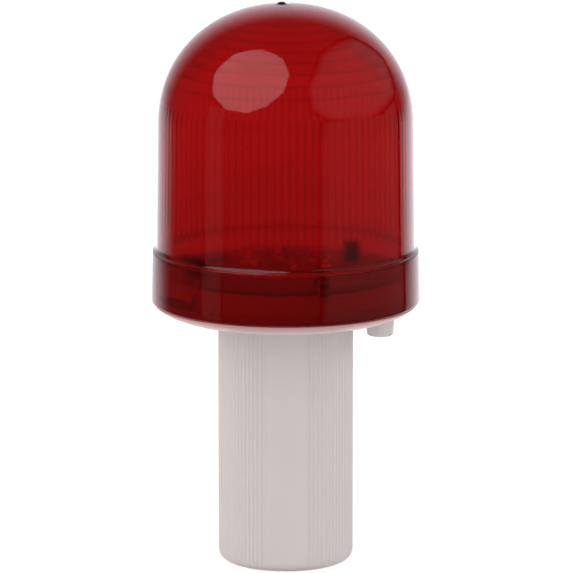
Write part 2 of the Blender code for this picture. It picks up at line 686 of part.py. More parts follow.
def make_switch():
    size = (SWITCH_SIDE, SWITCH_SIDE, SWITCH_HEIGHT)
    middle = (*BUTTON_XY, SWITCH_Z + SWITCH_HEIGHT / 2)
    switch = add_part("mode_switch", block("mode_switch", size), black_plastic, None, middle,
                      (0.0, 0.0, BUTTON_ANGLE))
    depth = PLUNGER_SEAT + BUTTON_TRAVEL + FIT_GAP
    hole = drum("plunger_hole", PLUNGER_RADIUS + FIT_GAP, depth + CUT_MARGIN, TINY_STEPS)
    hole_middle = (*BUTTON_XY, SWITCH_Z + (depth - CUT_MARGIN) / 2)
    combine(switch, add_cutter("plunger_hole", hole, location=hole_middle), "DIFFERENCE")


# Circuit board and its components

def make_board():
    outlines = [circle(BOARD_RADIUS, LARGE_STEPS)]
    for spot in post_places():
        outlines.append(circle(SCREW_RADIUS + FIT_GAP, TINY_STEPS, spot))
    add_part("circuit_board", curve_mesh(flat_curve("circuit_board", outlines, BOARD_THICKNESS)), board_tan,
             location=(0.0, 0.0, BOARD_Z + BOARD_THICKNESS / 2))


def make_screws():
    cross_half = CROSS_LENGTH / 2
    slot_half = CROSS_WIDTH / 2
    corner = [(cross_half, -slot_half), (cross_half, slot_half), (slot_half, slot_half)]
    cross = []
    for quarter in range(4):
        turned = Matrix.Rotation(quarter * math.pi / 2, 2)
        cross += [tuple(turned @ Vector(point)) for point in corner]
    head = [(0.0, SCREW_HEAD_HEIGHT), (SCREW_HEAD_TOP, SCREW_HEAD_HEIGHT)]
    head += [(SCREW_HEAD_RADIUS, SCREW_HEAD_HEIGHT / 2), (SCREW_HEAD_RADIUS, 0.0)]
    shank = [(SCREW_RADIUS, 0.0), (SCREW_RADIUS, SCREW_RADIUS - SCREW_LENGTH), (0.0, -SCREW_LENGTH)]
    for index, spot in enumerate(post_places()):
        name = f"board_screw_{index + 1}"
        screw = add_part(name, profile(name, head + shank), screw_steel, None, (*spot, MOUNTED_Z))
        turn_profile(screw, TINY_STEPS)
        recess = curve_mesh(flat_curve(f"cross_{index + 1}", [cross], CROSS_DEPTH * 2))
        recess_middle = (*spot, MOUNTED_Z + SCREW_HEAD_HEIGHT)
        combine(screw, add_cutter(f"cross_{index + 1}", recess, location=recess_middle), "DIFFERENCE")


def make_leds():
    dome = arc((0.0, LED_FLANGE_HEIGHT + LED_BODY_HEIGHT), LED_RADIUS, math.pi / 2, 0.0, ARC_STEPS)
    rim = LED_RADIUS + LED_FLANGE
    foot = [(LED_RADIUS, LED_FLANGE_HEIGHT), (rim, LED_FLANGE_HEIGHT), (rim, 0.0), (0.0, 0.0)]
    outline = [(0.0, dome[0][1])] + dome[1:] + foot
    for index in range(LED_COUNT):
        angle = LED_START + 2 * math.pi * index / LED_COUNT
        spot = (LED_RING_RADIUS * math.cos(angle), LED_RING_RADIUS * math.sin(angle), MOUNTED_Z)
        name = f"led_{index + 1}"
        turn_profile(add_part(name, profile(name, outline), led_epoxy, None, spot), TINY_STEPS)


def on_board(inset, angle):
    reach = BOARD_RADIUS - inset
    return (reach * math.cos(angle), reach * math.sin(angle), MOUNTED_Z)


def add_block_on_board(name, size, spot, material):
    part = add_part(name, block(name, size), material, None, (spot[0], spot[1], spot[2] + size[2] / 2))
    edges = part.modifiers.new("edges", "BEVEL")
    edges.width = CHIP_EDGE
    edges.segments = 1


def make_components():
    add_block_on_board("driver_chip", CHIP_SIZE, on_board(CHIP_INSET, CHIP_ANGLE), black_plastic)
    for index, angle in enumerate(RESISTOR_ANGLES):
        spot = on_board(RESISTOR_INSET, angle)
        add_block_on_board(f"resistor_{index + 1}", RESISTOR_SIZE, spot, resistor_black)
    can = [(0.0, CAPACITOR_HEIGHT), (CAPACITOR_RADIUS - CAPACITOR_EDGE, CAPACITOR_HEIGHT)]
    can += [(CAPACITOR_RADIUS, CAPACITOR_HEIGHT - CAPACITOR_EDGE), (CAPACITOR_RADIUS, 0.0), (0.0, 0.0)]
    can_place = on_board(CAPACITOR_INSET, CAPACITOR_ANGLE)
    capacitor = add_part("capacitor", profile("capacitor", can), capacitor_sleeve, None, can_place)
    turn_profile(capacitor, SMALL_STEPS)
    crown = [(0.0, SENSOR_HEIGHT), (SENSOR_RADIUS - SENSOR_CROWN, SENSOR_HEIGHT)]
    crown += [(SENSOR_RADIUS, SENSOR_HEIGHT - SENSOR_CROWN), (SENSOR_RADIUS, 0.0), (0.0, 0.0)]
    sensor_place = on_board(SENSOR_INSET, SENSOR_ANGLE)
    sensor = add_part("light_sensor", profile("light_sensor", crown), black_plastic, None, sensor_place)
    turn_profile(sensor, SMALL_STEPS)


# Leads from the contact springs, through the partition, up to the board

def make_lead(name, side, material):
    start = Vector((CELL_OFFSET, side * CELL_OFFSET, PARTITION_Z + FIT_GAP))
    end = Vector((LEAD_BOARD_PLACE[0], side * LEAD_BOARD_PLACE[1], BOARD_Z - FIT_GAP))
    straight = Vector((0.0, 0.0, PARTITION))
    low = start + straight
    rise = Vector((0.0, 0.0, (end.z - low.z) / 2))
    points = [start]
    for index in range(LEAD_POINTS + 1):
        share = index / LEAD_POINTS
        rest = 1 - share
        bend = rest ** 3 * low + 3 * rest ** 2 * share * (low + rise)
        points.append(bend + 3 * rest * share ** 2 * (end - rise) + share ** 3 * end)
    add_part(name, wire_curve(name, [tuple(point) for point in points], LEAD_RADIUS, LEAD_SIDES), material)


# Battery pack: carrier, cells, springs and contacts

def make_carrier(axis):
    carrier = add_part("battery_carrier", drum("battery_carrier", CARRIER_RADIUS, CARRIER_PLATE, LARGE_STEPS),
                       black_plastic, axis, (0.0, 0.0, CARRIER_Z + CARRIER_PLATE / 2))
    column_height = CARRIER_TOP_Z - CARRIER_Z - CARRIER_PLATE
    column = block("carrier_column", (COLUMN_HALF_WIDTH * 2, COLUMN_HALF_WIDTH * 2, column_height))
    middle = (0.0, 0.0, CARRIER_Z + CARRIER_PLATE / 2 + column_height / 2)
    combine(carrier, add_cutter("carrier_column", column, axis, middle, ON_EDGE), "UNION")
    lid = drum("carrier_lid", CARRIER_RADIUS, CARRIER_PLATE, LARGE_STEPS)
    lid_middle = (0.0, 0.0, CARRIER_LID_Z + CARRIER_PLATE / 2)
    combine(carrier, add_cutter("carrier_lid", lid, axis, lid_middle), "UNION")
    socket_bottom = KEY_Z - CARRIER_PLATE
    socket_height = CARRIER_TOP_Z + CUT_MARGIN - socket_bottom
    socket = block("key_socket", (COLUMN_HOLE * 2, COLUMN_HOLE * 2, socket_height))
    socket_middle = (0.0, 0.0, socket_bottom + socket_height / 2)
    combine(carrier, add_cutter("key_socket", socket, axis, socket_middle, ON_EDGE), "DIFFERENCE")
    for side in (1, -1):
        name = "stud_hole_front" if side < 0 else "stud_hole_rear"
        hole = drum(name, STUD_RADIUS + FIT_GAP, CARRIER_PLATE + 2 * CUT_MARGIN, SMALL_STEPS)
        hole_middle = (CELL_OFFSET, side * CELL_OFFSET, lid_middle[2])
        combine(carrier, add_cutter(name, hole, axis, hole_middle), "DIFFERENCE")


def make_cells(axis):
    nub = [(0.0, CELL_FULL), (CELL_NUB_RADIUS, CELL_FULL), (CELL_NUB_RADIUS, CELL_LENGTH)]
    jacket = [(CELL_RADIUS - CELL_EDGE, CELL_LENGTH), (CELL_RADIUS, CELL_LENGTH - CELL_EDGE)]
    jacket += [(CELL_RADIUS, CELL_EDGE), (CELL_RADIUS - CELL_EDGE, 0.0), (0.0, 0.0)]
    corners = [(1, 1), (-1, 1), (-1, -1), (1, -1)]
    for index, (x_side, y_side) in enumerate(corners):
        upright = index % 2 == 0
        spot = (x_side * CELL_OFFSET, y_side * CELL_OFFSET)
        base = CELL_SEAT_Z + (SPRING_ROOM if upright else CELL_FULL)
        turn = UPRIGHT if upright else FLIPPED
        name = f"battery_{index + 1}"
        cell = add_part(name, profile(name, nub + jacket), cell_jacket, axis, (*spot, base), turn)
        turn_profile(cell, SMALL_STEPS)
        spring_z = CELL_SEAT_Z if upright else CELL_SEAT_Z + CELL_FULL + FIT_GAP
        add_spring(f"cell_spring_{index + 1}", CELL_SPRING_FOOT, CELL_SPRING_TIP, CELL_SPRING_HEIGHT,
                   SPRING_WIRE, axis, (*spot, spring_z), not upright)


def make_contacts(axis):
    strip_length = 2 * CELL_OFFSET + BRIDGE_WIDTH
    strip = (strip_length, BRIDGE_WIDTH, BRIDGE_THICKNESS)
    low = LOW_CONTACT_Z + BRIDGE_THICKNESS / 2
    high = HIGH_CONTACT_Z + BRIDGE_THICKNESS / 2
    for name, side in (("bottom_bridge_1", 1), ("bottom_bridge_2", -1)):
        add_part(name, block(name, strip), contact_plate, axis, (0.0, side * CELL_OFFSET, low))
    add_part("top_bridge", block("top_bridge", strip), contact_plate, axis, (-CELL_OFFSET, 0.0, high), ACROSS)
    stud_height = STUD_TOP_Z - HIGH_CONTACT_Z
    outline = [(0.0, stud_height), (STUD_RADIUS, stud_height), (STUD_RADIUS, BRIDGE_THICKNESS)]
    outline += [(TERMINAL_DISC_RADIUS, BRIDGE_THICKNESS), (TERMINAL_DISC_RADIUS, 0.0), (0.0, 0.0)]
    for name, side in (("positive_terminal", 1), ("negative_terminal", -1)):
        spot = (CELL_OFFSET, side * CELL_OFFSET, HIGH_CONTACT_Z)
        turn_profile(add_part(name, profile(name, outline), contact_plate, axis, spot), SMALL_STEPS)


def main():
    lens_axis = add_axis("lens_axis", (0.0, 0.0, 0.0))
    tube_axis = add_axis("tube_axis", (0.0, 0.0, 0.0))
    pack_axis = add_axis("pack_axis", (0.0, 0.0, 0.0))
    button_axis = add_axis("button_axis", (*BUTTON_XY, BUTTON_Z))
    make_tube(tube_axis)
    make_dish()
    make_lens(lens_axis)
    make_button(button_axis)
    make_switch()
    make_board()
    make_screws()
    make_leds()
    make_components()
    make_lead("positive_lead", 1, red_insulation)
    make_lead("negative_lead", -1, black_insulation)
    for name, side in (("positive_contact", 1), ("negative_contact", -1)):
        add_spring(name, CONTACT_SPRING_FOOT, CONTACT_SPRING_TIP, CONTACT_SPRING_HEIGHT, SPRING_WIRE, None,
                   (CELL_OFFSET, side * CELL_OFFSET, CONTACT_SPRING_Z), True)
    add_ring("lens_seal", LENS_SEAL_RING, LENS_SEAL_RADIUS, LENS_SEAL_Z, silicone)
    add_ring("tube_seal", TUBE_SEAL_RING, TUBE_SEAL_RADIUS, TUBE_SEAL_Z, silicone)
    make_carrier(pack_axis)
    make_cells(pack_axis)
    make_contacts(pack_axis)


main()
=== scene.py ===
# LED cone lamp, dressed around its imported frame. Metres, +Z up, the front towards -Y.
import json
import math

import bmesh
import bpy
import numpy as np
from mathutils import Matrix, Vector

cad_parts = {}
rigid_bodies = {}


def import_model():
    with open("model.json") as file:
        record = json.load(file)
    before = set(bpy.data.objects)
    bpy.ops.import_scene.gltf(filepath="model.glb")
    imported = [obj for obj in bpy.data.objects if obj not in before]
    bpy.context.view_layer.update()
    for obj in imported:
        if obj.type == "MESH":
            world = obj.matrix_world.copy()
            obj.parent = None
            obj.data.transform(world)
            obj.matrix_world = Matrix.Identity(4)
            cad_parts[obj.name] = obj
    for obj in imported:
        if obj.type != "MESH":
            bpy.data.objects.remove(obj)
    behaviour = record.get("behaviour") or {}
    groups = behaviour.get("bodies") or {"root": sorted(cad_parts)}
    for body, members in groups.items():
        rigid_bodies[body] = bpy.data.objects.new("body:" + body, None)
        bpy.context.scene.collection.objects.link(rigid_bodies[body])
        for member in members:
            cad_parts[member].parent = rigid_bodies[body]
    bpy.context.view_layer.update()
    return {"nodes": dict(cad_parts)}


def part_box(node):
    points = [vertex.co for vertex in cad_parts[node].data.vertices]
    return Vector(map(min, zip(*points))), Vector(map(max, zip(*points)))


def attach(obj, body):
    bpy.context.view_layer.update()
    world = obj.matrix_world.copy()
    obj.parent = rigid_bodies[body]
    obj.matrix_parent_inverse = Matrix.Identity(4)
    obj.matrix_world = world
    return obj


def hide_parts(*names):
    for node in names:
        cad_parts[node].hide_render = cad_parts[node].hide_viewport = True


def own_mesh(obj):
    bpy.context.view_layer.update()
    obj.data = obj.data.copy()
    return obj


for startUpObject in list(bpy.data.objects):
    bpy.data.objects.remove(startUpObject, do_unlink=True)

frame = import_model()

mm = 0.001                      # outlines below are written in millimetres
fullTurn = 2 * math.pi
sharpFrom = math.radians(40)    # edges steeper than this stay crisp
wallReach = 0.1                 # a face this near a wall's radius, in mm, is on the wall
edgeShare = 0.48                # a fillet takes at most this much of an edge


# Node helpers: a new node goes into the tree that its linked values belong to

def isSocket(value):
    return isinstance(value, bpy.types.NodeSocket)


def treeOf(*values):
    return next(value.id_data for value in values if isSocket(value))


def feed(node, inputs):     # links a socket, or sets a plain value on the node's own socket
    for label, value in inputs.items():
        if isSocket(value):
            value.id_data.links.new(value, node.inputs[label])
        else:
            node.inputs[label].default_value = value


def addNode(tree, kind, inputs=None, **settings):
    node = tree.nodes.new(kind)
    for label, value in settings.items():
        setattr(node, label, value)
    feed(node, inputs or {})
    return node


def calc(operation, *values):
    inputs = dict(enumerate(values))
    return addNode(treeOf(*values), "ShaderNodeMath", inputs, operation=operation).outputs[0]


def plus(first, second):
    return calc("ADD", first, second)


def minus(first, second):
    return calc("SUBTRACT", first, second)


def times(first, second):
    return calc("MULTIPLY", first, second)


def timesPlus(first, second, third):
    return calc("MULTIPLY_ADD", first, second, third)


def hypot(first, second):
    return calc("SQRT", plus(times(first, first), times(second, second)))


def ramp(value, fromLow, fromHigh, toLow=0.0, toHigh=1.0):
    span = dict(enumerate((value, fromLow, fromHigh, toLow, toHigh)))
    return addNode(value.id_data, "ShaderNodeMapRange", span, interpolation_type="SMOOTHSTEP").outputs[0]


def split(vector):
    return addNode(vector.id_data, "ShaderNodeSeparateXYZ", {0: vector}).outputs


def joined(x=0.0, y=0.0, z=0.0):
    return addNode(treeOf(x, y, z), "ShaderNodeCombineXYZ", {0: x, 1: y, 2: z}).outputs[0]


def newGroup(kind, name, inputs, outputs):
    tree = bpy.data.node_groups.new(name, kind)
    for label, socketType, value in inputs:
        socket = tree.interface.new_socket(label, in_out="INPUT", socket_type=socketType)
        if value is not None:
            socket.default_value = value
    for label, socketType in outputs:
        tree.interface.new_socket(label, in_out="OUTPUT", socket_type=socketType)
    return tree, tree.nodes.new("NodeGroupInput").outputs, tree.nodes.new("NodeGroupOutput")


# Geometry Nodes: what repeats or follows a path

def sizes(*labels):
    return [(label, "NodeSocketFloat", 0.0) for label in labels]


def shapeTree(name, inputs):
    inputs = [("Geometry", "NodeSocketGeometry", None), *inputs, ("Material", "NodeSocketMaterial", None)]
    return newGroup("GeometryNodeTree", name, inputs, [("Geometry", "NodeSocketGeometry")])


def endTree(shape, given, out):
    tree = shape.id_data
    whole = addNode(tree, "GeometryNodeRealizeInstances", {"Geometry": shape}).outputs[0]
    coated = addNode(tree, "GeometryNodeSetMaterial", {"Geometry": whole, "Material": given["Material"]})
    tree.links.new(coated.outputs[0], out.inputs[0])
    return tree


def polarParts(tree):
    x, y, z = split(addNode(tree, "GeometryNodeInputPosition").outputs[0])
    return x, y, z, calc("ARCTAN2", y, x), hypot(x, y)


def scaleOut(shape, x, y, z, factor):
    place = joined(times(x, factor), times(y, factor), z)
    return addNode(shape.id_data, "GeometryNodeSetPosition", {"Geometry": shape, "Position": place}).outputs[0]


def between(z, low, high, lowFade, highFade):
    return times(ramp(z, low, plus(low, lowFade)), ramp(z, high, minus(high, highFade)))


def markedRows(tree, label):
    found = addNode(tree, "GeometryNodeInputNamedAttribute", {"Name": label}, data_type="FLOAT")
    return found.outputs["Attribute"]


def makeReedTree():     # upright ribs or flutes around a turned wall, with one plain stripe
    tree, given, out = shapeTree("uprightReeds", sizes(
        "Count", "Depth", "Low", "High", "Low Fade", "High Fade", "Shape",
        "Plain Middle", "Plain Half", "Plain Edge"))
    x, y, z, angle, radius = polarParts(tree)
    swing = calc("COSINE", times(angle, given["Count"]))
    wave = calc("POWER", timesPlus(swing, -0.5, 0.5), given["Shape"])
    turnedAway = calc("WRAP", minus(angle, given["Plain Middle"]), math.pi, -math.pi)
    edge = plus(given["Plain Half"], given["Plain Edge"])
    ribbed = ramp(calc("ABSOLUTE", turnedAway), given["Plain Half"], edge)
    tall = between(z, given["Low"], given["High"], given["Low Fade"], given["High Fade"])
    amount = times(times(times(wave, ribbed), tall), markedRows(tree, "reeded"))
    factor = plus(calc("DIVIDE", times(given["Depth"], amount), radius), 1.0)
    # the groove depth is kept for the finishes, which paint shade into the grooves
    kept = addNode(tree, "GeometryNodeStoreNamedAttribute",
                   {"Geometry": given["Geometry"], "Name": "groove", "Value": amount},
                   data_type="FLOAT", domain="POINT").outputs[0]
    return endTree(scaleOut(kept, x, y, z, factor), given, out)


def makeThreadTree():   # a round thread raised out of, or sunk into, a turned wall
    tree, given, out = shapeTree("roundThread", sizes(
        "Core Radius", "Round", "Pitch", "Start", "Low", "High", "Fade"))
    x, y, z, angle, radius = polarParts(tree)
    turns = calc("DIVIDE", minus(z, given["Start"]), given["Pitch"])
    turns = minus(turns, calc("DIVIDE", angle, fullTurn))
    offset = times(minus(turns, calc("ROUND", turns)), given["Pitch"])
    size = times(given["Round"], between(z, given["Low"], given["High"], given["Fade"], given["Fade"]))
    bulge = calc("SQRT", calc("MAXIMUM", minus(times(size, size), times(offset, offset)), 0.0))
    wanted = calc("MAXIMUM", radius, plus(given["Core Radius"], bulge))
    threaded = markedRows(tree, "threaded")
    mixed = timesPlus(wanted, threaded, times(radius, minus(1.0, threaded)))
    factor = calc("DIVIDE", mixed, calc("MAXIMUM", radius, 1e-6))
    return endTree(scaleOut(given["Geometry"], x, y, z, factor), given, out)


def makeRingTree():     # one piece repeated on a ring, each facing outwards
    tree, given, out = shapeTree("ringOfPieces", [
        ("Piece", "NodeSocketObject", None), ("Count", "NodeSocketInt", 1),
        *sizes("Ring Radius", "Start Angle", "Height")])
    circle = addNode(tree, "GeometryNodeMeshCircle",
                     {"Vertices": given["Count"], "Radius": given["Ring Radius"]}).outputs[0]
    turn, lift = joined(z=given["Start Angle"]), joined(z=given["Height"])
    spots = addNode(tree, "GeometryNodeTransform",
                    {"Geometry": circle, "Translation": lift, "Rotation": turn}).outputs[0]
    facing = joined(z=polarParts(tree)[3])
    source = addNode(tree, "GeometryNodeObjectInfo", {"Object": given["Piece"]}).outputs["Geometry"]
    many = addNode(tree, "GeometryNodeInstanceOnPoints",
                   {"Points": spots, "Instance": source, "Rotation": facing}).outputs[0]
    return endTree(many, given, out)


def makeWireTree():     # round wire along a path
    tree, given, out = shapeTree("wireOnPath", [*sizes("Wire Radius"), ("Sides", "NodeSocketInt", 12)])
    path = addNode(tree, "GeometryNodeMeshToCurve", {0: given["Geometry"]}).outputs[0]
    section = addNode(tree, "GeometryNodeCurvePrimitiveCircle",
                      {"Resolution": given["Sides"], "Radius": given["Wire Radius"]}).outputs[0]
    wire = addNode(tree, "GeometryNodeCurveToMesh",
                   {"Curve": path, "Profile Curve": section, "Fill Caps": True}).outputs[0]
    return endTree(addNode(tree, "GeometryNodeSetShadeSmooth", {0: wire}).outputs[0], given, out)


reedTree = makeReedTree()
threadTree = makeThreadTree()
ringTree = makeRingTree()
wireTree = makeWireTree()
print("node trees:", ", ".join(tree.name for tree in (reedTree, threadTree, ringTree, wireTree)))


def applied(piece, modifier):       # keeps what a modifier made as a plain mesh
    bpy.context.view_layer.update()
    live = bpy.context.evaluated_depsgraph_get()
    shape = bpy.data.meshes.new_from_object(piece.evaluated_get(live), preserve_all_data_layers=True,
                                            depsgraph=live)
    piece.modifiers.remove(modifier)
    piece.data = shape
    return piece


def grow(piece, tree, values):
    modifier = piece.modifiers.new(tree.name, "NODES")
    modifier.node_group = tree
    for socket in tree.interface.items_tree:
        if socket.item_type == "SOCKET" and socket.in_out == "INPUT" and socket.name in values:
            modifier[socket.identifier] = values[socket.name]
    return applied(piece, modifier)


def combined(piece, other, operation):
    modifier = piece.modifiers.new(operation, "BOOLEAN")
    modifier.operation = operation
    modifier.solver = "EXACT"
    modifier.object = other
    applied(piece, modifier)
    bpy.data.objects.remove(other, do_unlink=True)


# Plain mesh code

def linked(name, mesh):
    piece = bpy.data.objects.new(name, mesh)
    bpy.context.scene.collection.objects.link(piece)
    return piece


def crisp(mesh):
    mesh.shade_smooth()
    mesh.set_sharp_from_angle(angle=sharpFrom)


def written(body, mesh):        # an edited shape back into its mesh
    body.to_mesh(mesh)
    body.free()
    crisp(mesh)


def filleted(corners, steps=4):     # (radius, height, fillet) corners to a smooth outline
    points = []
    for index, corner in enumerate(corners):
        here = Vector(corner[:2])
        if len(corner) < 3 or index in (0, len(corners) - 1):
            points.append(tuple(here))
            continue
        before = Vector(corners[index - 1][:2]) - here
        after = Vector(corners[index + 1][:2]) - here
        reach = corner[2] / math.tan(before.angle(after) / 2)
        reach = min(reach, edgeShare * before.length, edgeShare * after.length)
        first = here + before.normalized() * reach
        last = here + after.normalized() * reach
        for step in range(steps + 1):
            share = step / steps
            points.append(tuple(first * (1 - share) ** 2 + here * 2 * share * (1 - share) + last * share ** 2))
    return points


def ringSpot(radius, lean):
    return radius * math.cos(lean), radius * math.sin(lean)


def ringLeans(middle, count):
    return [math.radians(middle) + fullTurn * number / count for number in range(count)]


def turned(name, outline, segments, marks=None, closed=False):
    # an outline of (radius, height) in mm, turned about Z; radius 0 is a pole
    angles = np.arange(segments) * fullTurn / segments
    points, rows = [], []
    for radius, height in outline:
        count = 1 if radius < 1e-6 else segments
        rows.append(range(len(points), len(points) + count))
        points += [(*ringSpot(radius * mm, lean), height * mm) for lean in angles[:count]]
    faces = []
    pairs = list(zip(rows, rows[1:]))
    if closed:
        pairs.append((rows[-1], rows[0]))
    for one, two in pairs:
        for step in range(segments):
            following = (step + 1) % segments
            if len(one) == 1:
                faces.append((one[0], two[step], two[following]))
            elif len(two) == 1:
                faces.append((one[step], two[0], one[following]))
            else:
                faces.append((one[step], two[step], two[following], one[following]))
    mesh = bpy.data.meshes.new(name)
    mesh.from_pydata(points, [], faces)
    for label, values in (marks or {}).items():
        spread = np.concatenate([np.full(len(row), value) for row, value in zip(rows, values)])
        mesh.attributes.new(label, "FLOAT", "POINT").data.foreach_set("value", spread.astype(np.float32))
    body = bmesh.new()
    body.from_mesh(mesh)
    if body.calc_volume(signed=True) < 0:
        bmesh.ops.reverse_faces(body, faces=body.faces)
    written(body, mesh)
    return linked(name, mesh)


def raised(piece, low, high, nearRadius, toRadius, middles, span):      # pushes parts of a turned wall in or out
    body = bmesh.new()
    body.from_mesh(piece.data)
    chosen = []
    for face in body.faces:
        spot = face.calc_center_median() / mm
        away = min(abs(math.remainder(math.atan2(spot.y, spot.x) - middle, fullTurn)) for middle in middles)
        onWall = abs(math.hypot(spot.x, spot.y) - nearRadius) < wallReach
        if low < spot.z < high and onWall and away < span / 2:
            chosen.append(face)
    grown = bmesh.ops.extrude_face_region(body, geom=chosen)["geom"]
    for item in grown:
        if isinstance(item, bmesh.types.BMVert):
            item.co.xy *= toRadius * mm / item.co.xy.length
    written(body, piece.data)


def block(name, size, place=(0, 0, 0), turn=0.0, edge=0.0):
    mesh = bpy.data.meshes.new(name)
    body = bmesh.new()
    bmesh.ops.create_cube(body, size=1.0, matrix=Matrix.Diagonal((*[side * mm for side in size], 1.0)))
    if edge:
        bmesh.ops.bevel(body, geom=body.edges[:], offset=edge * mm, segments=2, profile=0.5, affect="EDGES")
    move = Matrix.Translation(Vector(place) * mm) @ Matrix.Rotation(turn, 4, "Z")
    bmesh.ops.transform(body, matrix=move, verts=body.verts)
    written(body, mesh)
    return linked(name, mesh)


def moved(piece, x=0.0, y=0.0, z=0.0, flip=False):
    spin = Matrix.Rotation(math.pi, 4, "X") if flip else Matrix.Identity(4)
    piece.data.transform(Matrix.Translation((x * mm, y * mm, z * mm)) @ spin)
    return piece


def rod(name, radius, low, high, segments, spot):
    return moved(turned(name, [(0.0, low), (radius, low), (radius, high), (0.0, high)], segments), *spot)


def merged(name, pieces):       # several meshes kept as one piece
    body = bmesh.new()
    for piece in pieces:
        body.from_mesh(piece.data)
        bpy.data.objects.remove(piece, do_unlink=True)
    mesh = bpy.data.meshes.new(name)
    written(body, mesh)
    return linked(name, mesh)


def faceMark(piece, label, test):       # a 0 or 1 on each face, for the material
    values = [1.0 if test(Vector(face.center) / mm) else 0.0 for face in piece.data.polygons]
    piece.data.attributes.new(label, "FLOAT", "FACE").data.foreach_set("value", values)


def wired(name, path, radius, material, sides=12):
    mesh = bpy.data.meshes.new(name)
    mesh.from_pydata([Vector(point) * mm for point in path], [(i, i + 1) for i in range(len(path) - 1)], [])
    return grow(linked(name, mesh), wireTree, {"Wire Radius": radius * mm, "Sides": sides, "Material": material})


def onRing(name, source, count, radius, start, height, material):
    holder = linked(name, bpy.data.meshes.new(name))
    grow(holder, ringTree, {"Piece": source, "Count": count, "Ring Radius": radius * mm,
                            "Start Angle": math.radians(start), "Height": height * mm, "Material": material})
    bpy.data.objects.remove(source, do_unlink=True)
    return holder


def settle(piece, body, slot, *nodes):
    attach(piece, body)
    if nodes:
        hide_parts(*nodes)
    return piece


def coat(piece, material):
    piece.data.materials.clear()
    piece.data.materials.append(material)
    return piece


def middleOf(node):
    low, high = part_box(node)
    return ((low.x + high.x) / 2 / mm, (low.y + high.y) / 2 / mm)


def heightOf(node):
    low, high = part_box(node)
    return (high.z - low.z) / mm


def sizeOf(node):
    low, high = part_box(node)
    return (high - low) / mm


# Shader groups that several finishes share

def floats(values):
    return [(label, "NodeSocketFloat", value) for label, value in values.items()]


def shaderGroup(name, inputs, *outputs):
    return newGroup("ShaderNodeTree", name, inputs, [(label, "NodeSocketFloat") for label in outputs])


def noise(space, scale, detail=2.0):
    inputs = {"Vector": space, "Scale": scale, "Detail": detail}
    return addNode(space.id_data, "ShaderNodeTexNoise", inputs).outputs[0]


def ownSpace(tree):
    return addNode(tree, "ShaderNodeTexCoord").outputs["Object"]


def makeMouldGroup():       # the slight clouding and skin of a moulding
    inputs = floats({"Skin Scale": 2600.0, "Cloud Scale": 70.0, "Cloud Spread": 0.05})
    tree, given, out = shaderGroup("mouldedSkin", inputs, "Tone", "Skin", "Cloud")
    space = ownSpace(tree)
    cloud = noise(space, given["Cloud Scale"], 3.0)
    tone = plus(times(minus(cloud, 0.5), given["Cloud Spread"]), 1.0)
    feed(out, {"Tone": tone, "Skin": noise(space, given["Skin Scale"]), "Cloud": cloud})
    return tree


scuffLook = {"lineScale": 900.0, "lineCut": (0.66, 0.72), "patchScale": 55.0, "patchCut": (0.5, 0.62),
             "lines": (((0.5, 0.9, 0.2), (0.05, 1.0, 1.0)), ((1.1, -0.4, 0.8), (1.0, 0.06, 1.0)))}


def makeScuffGroup():       # fine crossing scuffs in patches
    look = scuffLook
    tree, out = shaderGroup("handlingScuffs", [], "Mask")[::2]
    space = ownSpace(tree)
    lines = []
    for lean, stretch in look["lines"]:
        laid = addNode(tree, "ShaderNodeMapping", {"Vector": space, "Rotation": lean, "Scale": stretch}).outputs[0]
        lines.append(ramp(noise(laid, look["lineScale"], 1.0), *look["lineCut"]))
    patch = ramp(noise(space, look["patchScale"]), *look["patchCut"])
    feed(out, {"Mask": times(calc("MAXIMUM", *lines), patch)})
    return tree


speckLook = {"scale": 130.0, "grain": (0.06, 0.036)}        # a grain's radius at its edge and at its full tone


def makeSpeckGroup():       # a few grains of dust
    look = speckLook
    tree, given, out = shaderGroup("dustSpecks", floats({"Share": 0.2}), "Mask")
    cells = addNode(tree, "ShaderNodeTexVoronoi", {"Vector": ownSpace(tree), "Scale": look["scale"]}).outputs
    grain = ramp(cells["Distance"], *look["grain"])
    chance = addNode(tree, "ShaderNodeSeparateColor", {0: cells["Color"]}).outputs[0]
    feed(out, {"Mask": times(grain, calc("LESS_THAN", chance, given["Share"]))})
    return tree


brushLook = {"stretch": (1.0, 1.0, 0.12), "toneSpread": 0.24, "toneLow": 0.86}


def makeBrushGroup():       # drawing lines on wire and sheet metal
    look = brushLook
    tree, given, out = shaderGroup("drawnMetal", floats({"Streak Scale": 700.0}), "Tone", "Gloss")
    laid = addNode(tree, "ShaderNodeMapping", {"Vector": ownSpace(tree), "Scale": look["stretch"]}).outputs[0]
    streak = noise(laid, given["Streak Scale"], 3.0)
    feed(out, {"Tone": timesPlus(streak, look["toneSpread"], look["toneLow"]), "Gloss": streak})
    return tree


mouldGroup = makeMouldGroup()
scuffGroup = makeScuffGroup()
speckGroup = makeSpeckGroup()
brushGroup = makeBrushGroup()


def placed(tree, group, inputs=None):
    return addNode(tree, "ShaderNodeGroup", inputs, node_tree=group).outputs


def newFinish(name):
    material = bpy.data.materials.new(name)
    material.use_nodes = True
    return material, material.node_tree, material.node_tree.nodes["Principled BSDF"]


def blendColour(factor, first, second, mode="MIX"):
    first, second = [value if isSocket(value) else (*value, 1.0) for value in (first, second)]
    return addNode(treeOf(factor, first, second), "ShaderNodeMix", {0: factor, 6: first, 7: second},
                   data_type="RGBA", blend_type=mode).outputs[2]


def toned(colour, tone):        # a colour, fixed or linked, times a grey value
    grey = addNode(tone.id_data, "ShaderNodeCombineColor", {0: tone, 1: tone, 2: tone}).outputs[0]
    return blendColour(1.0, colour, grey, "MULTIPLY")


def attribute(tree, label):
    return addNode(tree, "ShaderNodeAttribute", attribute_name=label).outputs["Fac"]


def bump(height, distance):
    return addNode(height.id_data, "ShaderNodeBump", {"Height": height, "Distance": distance}).outputs[0]


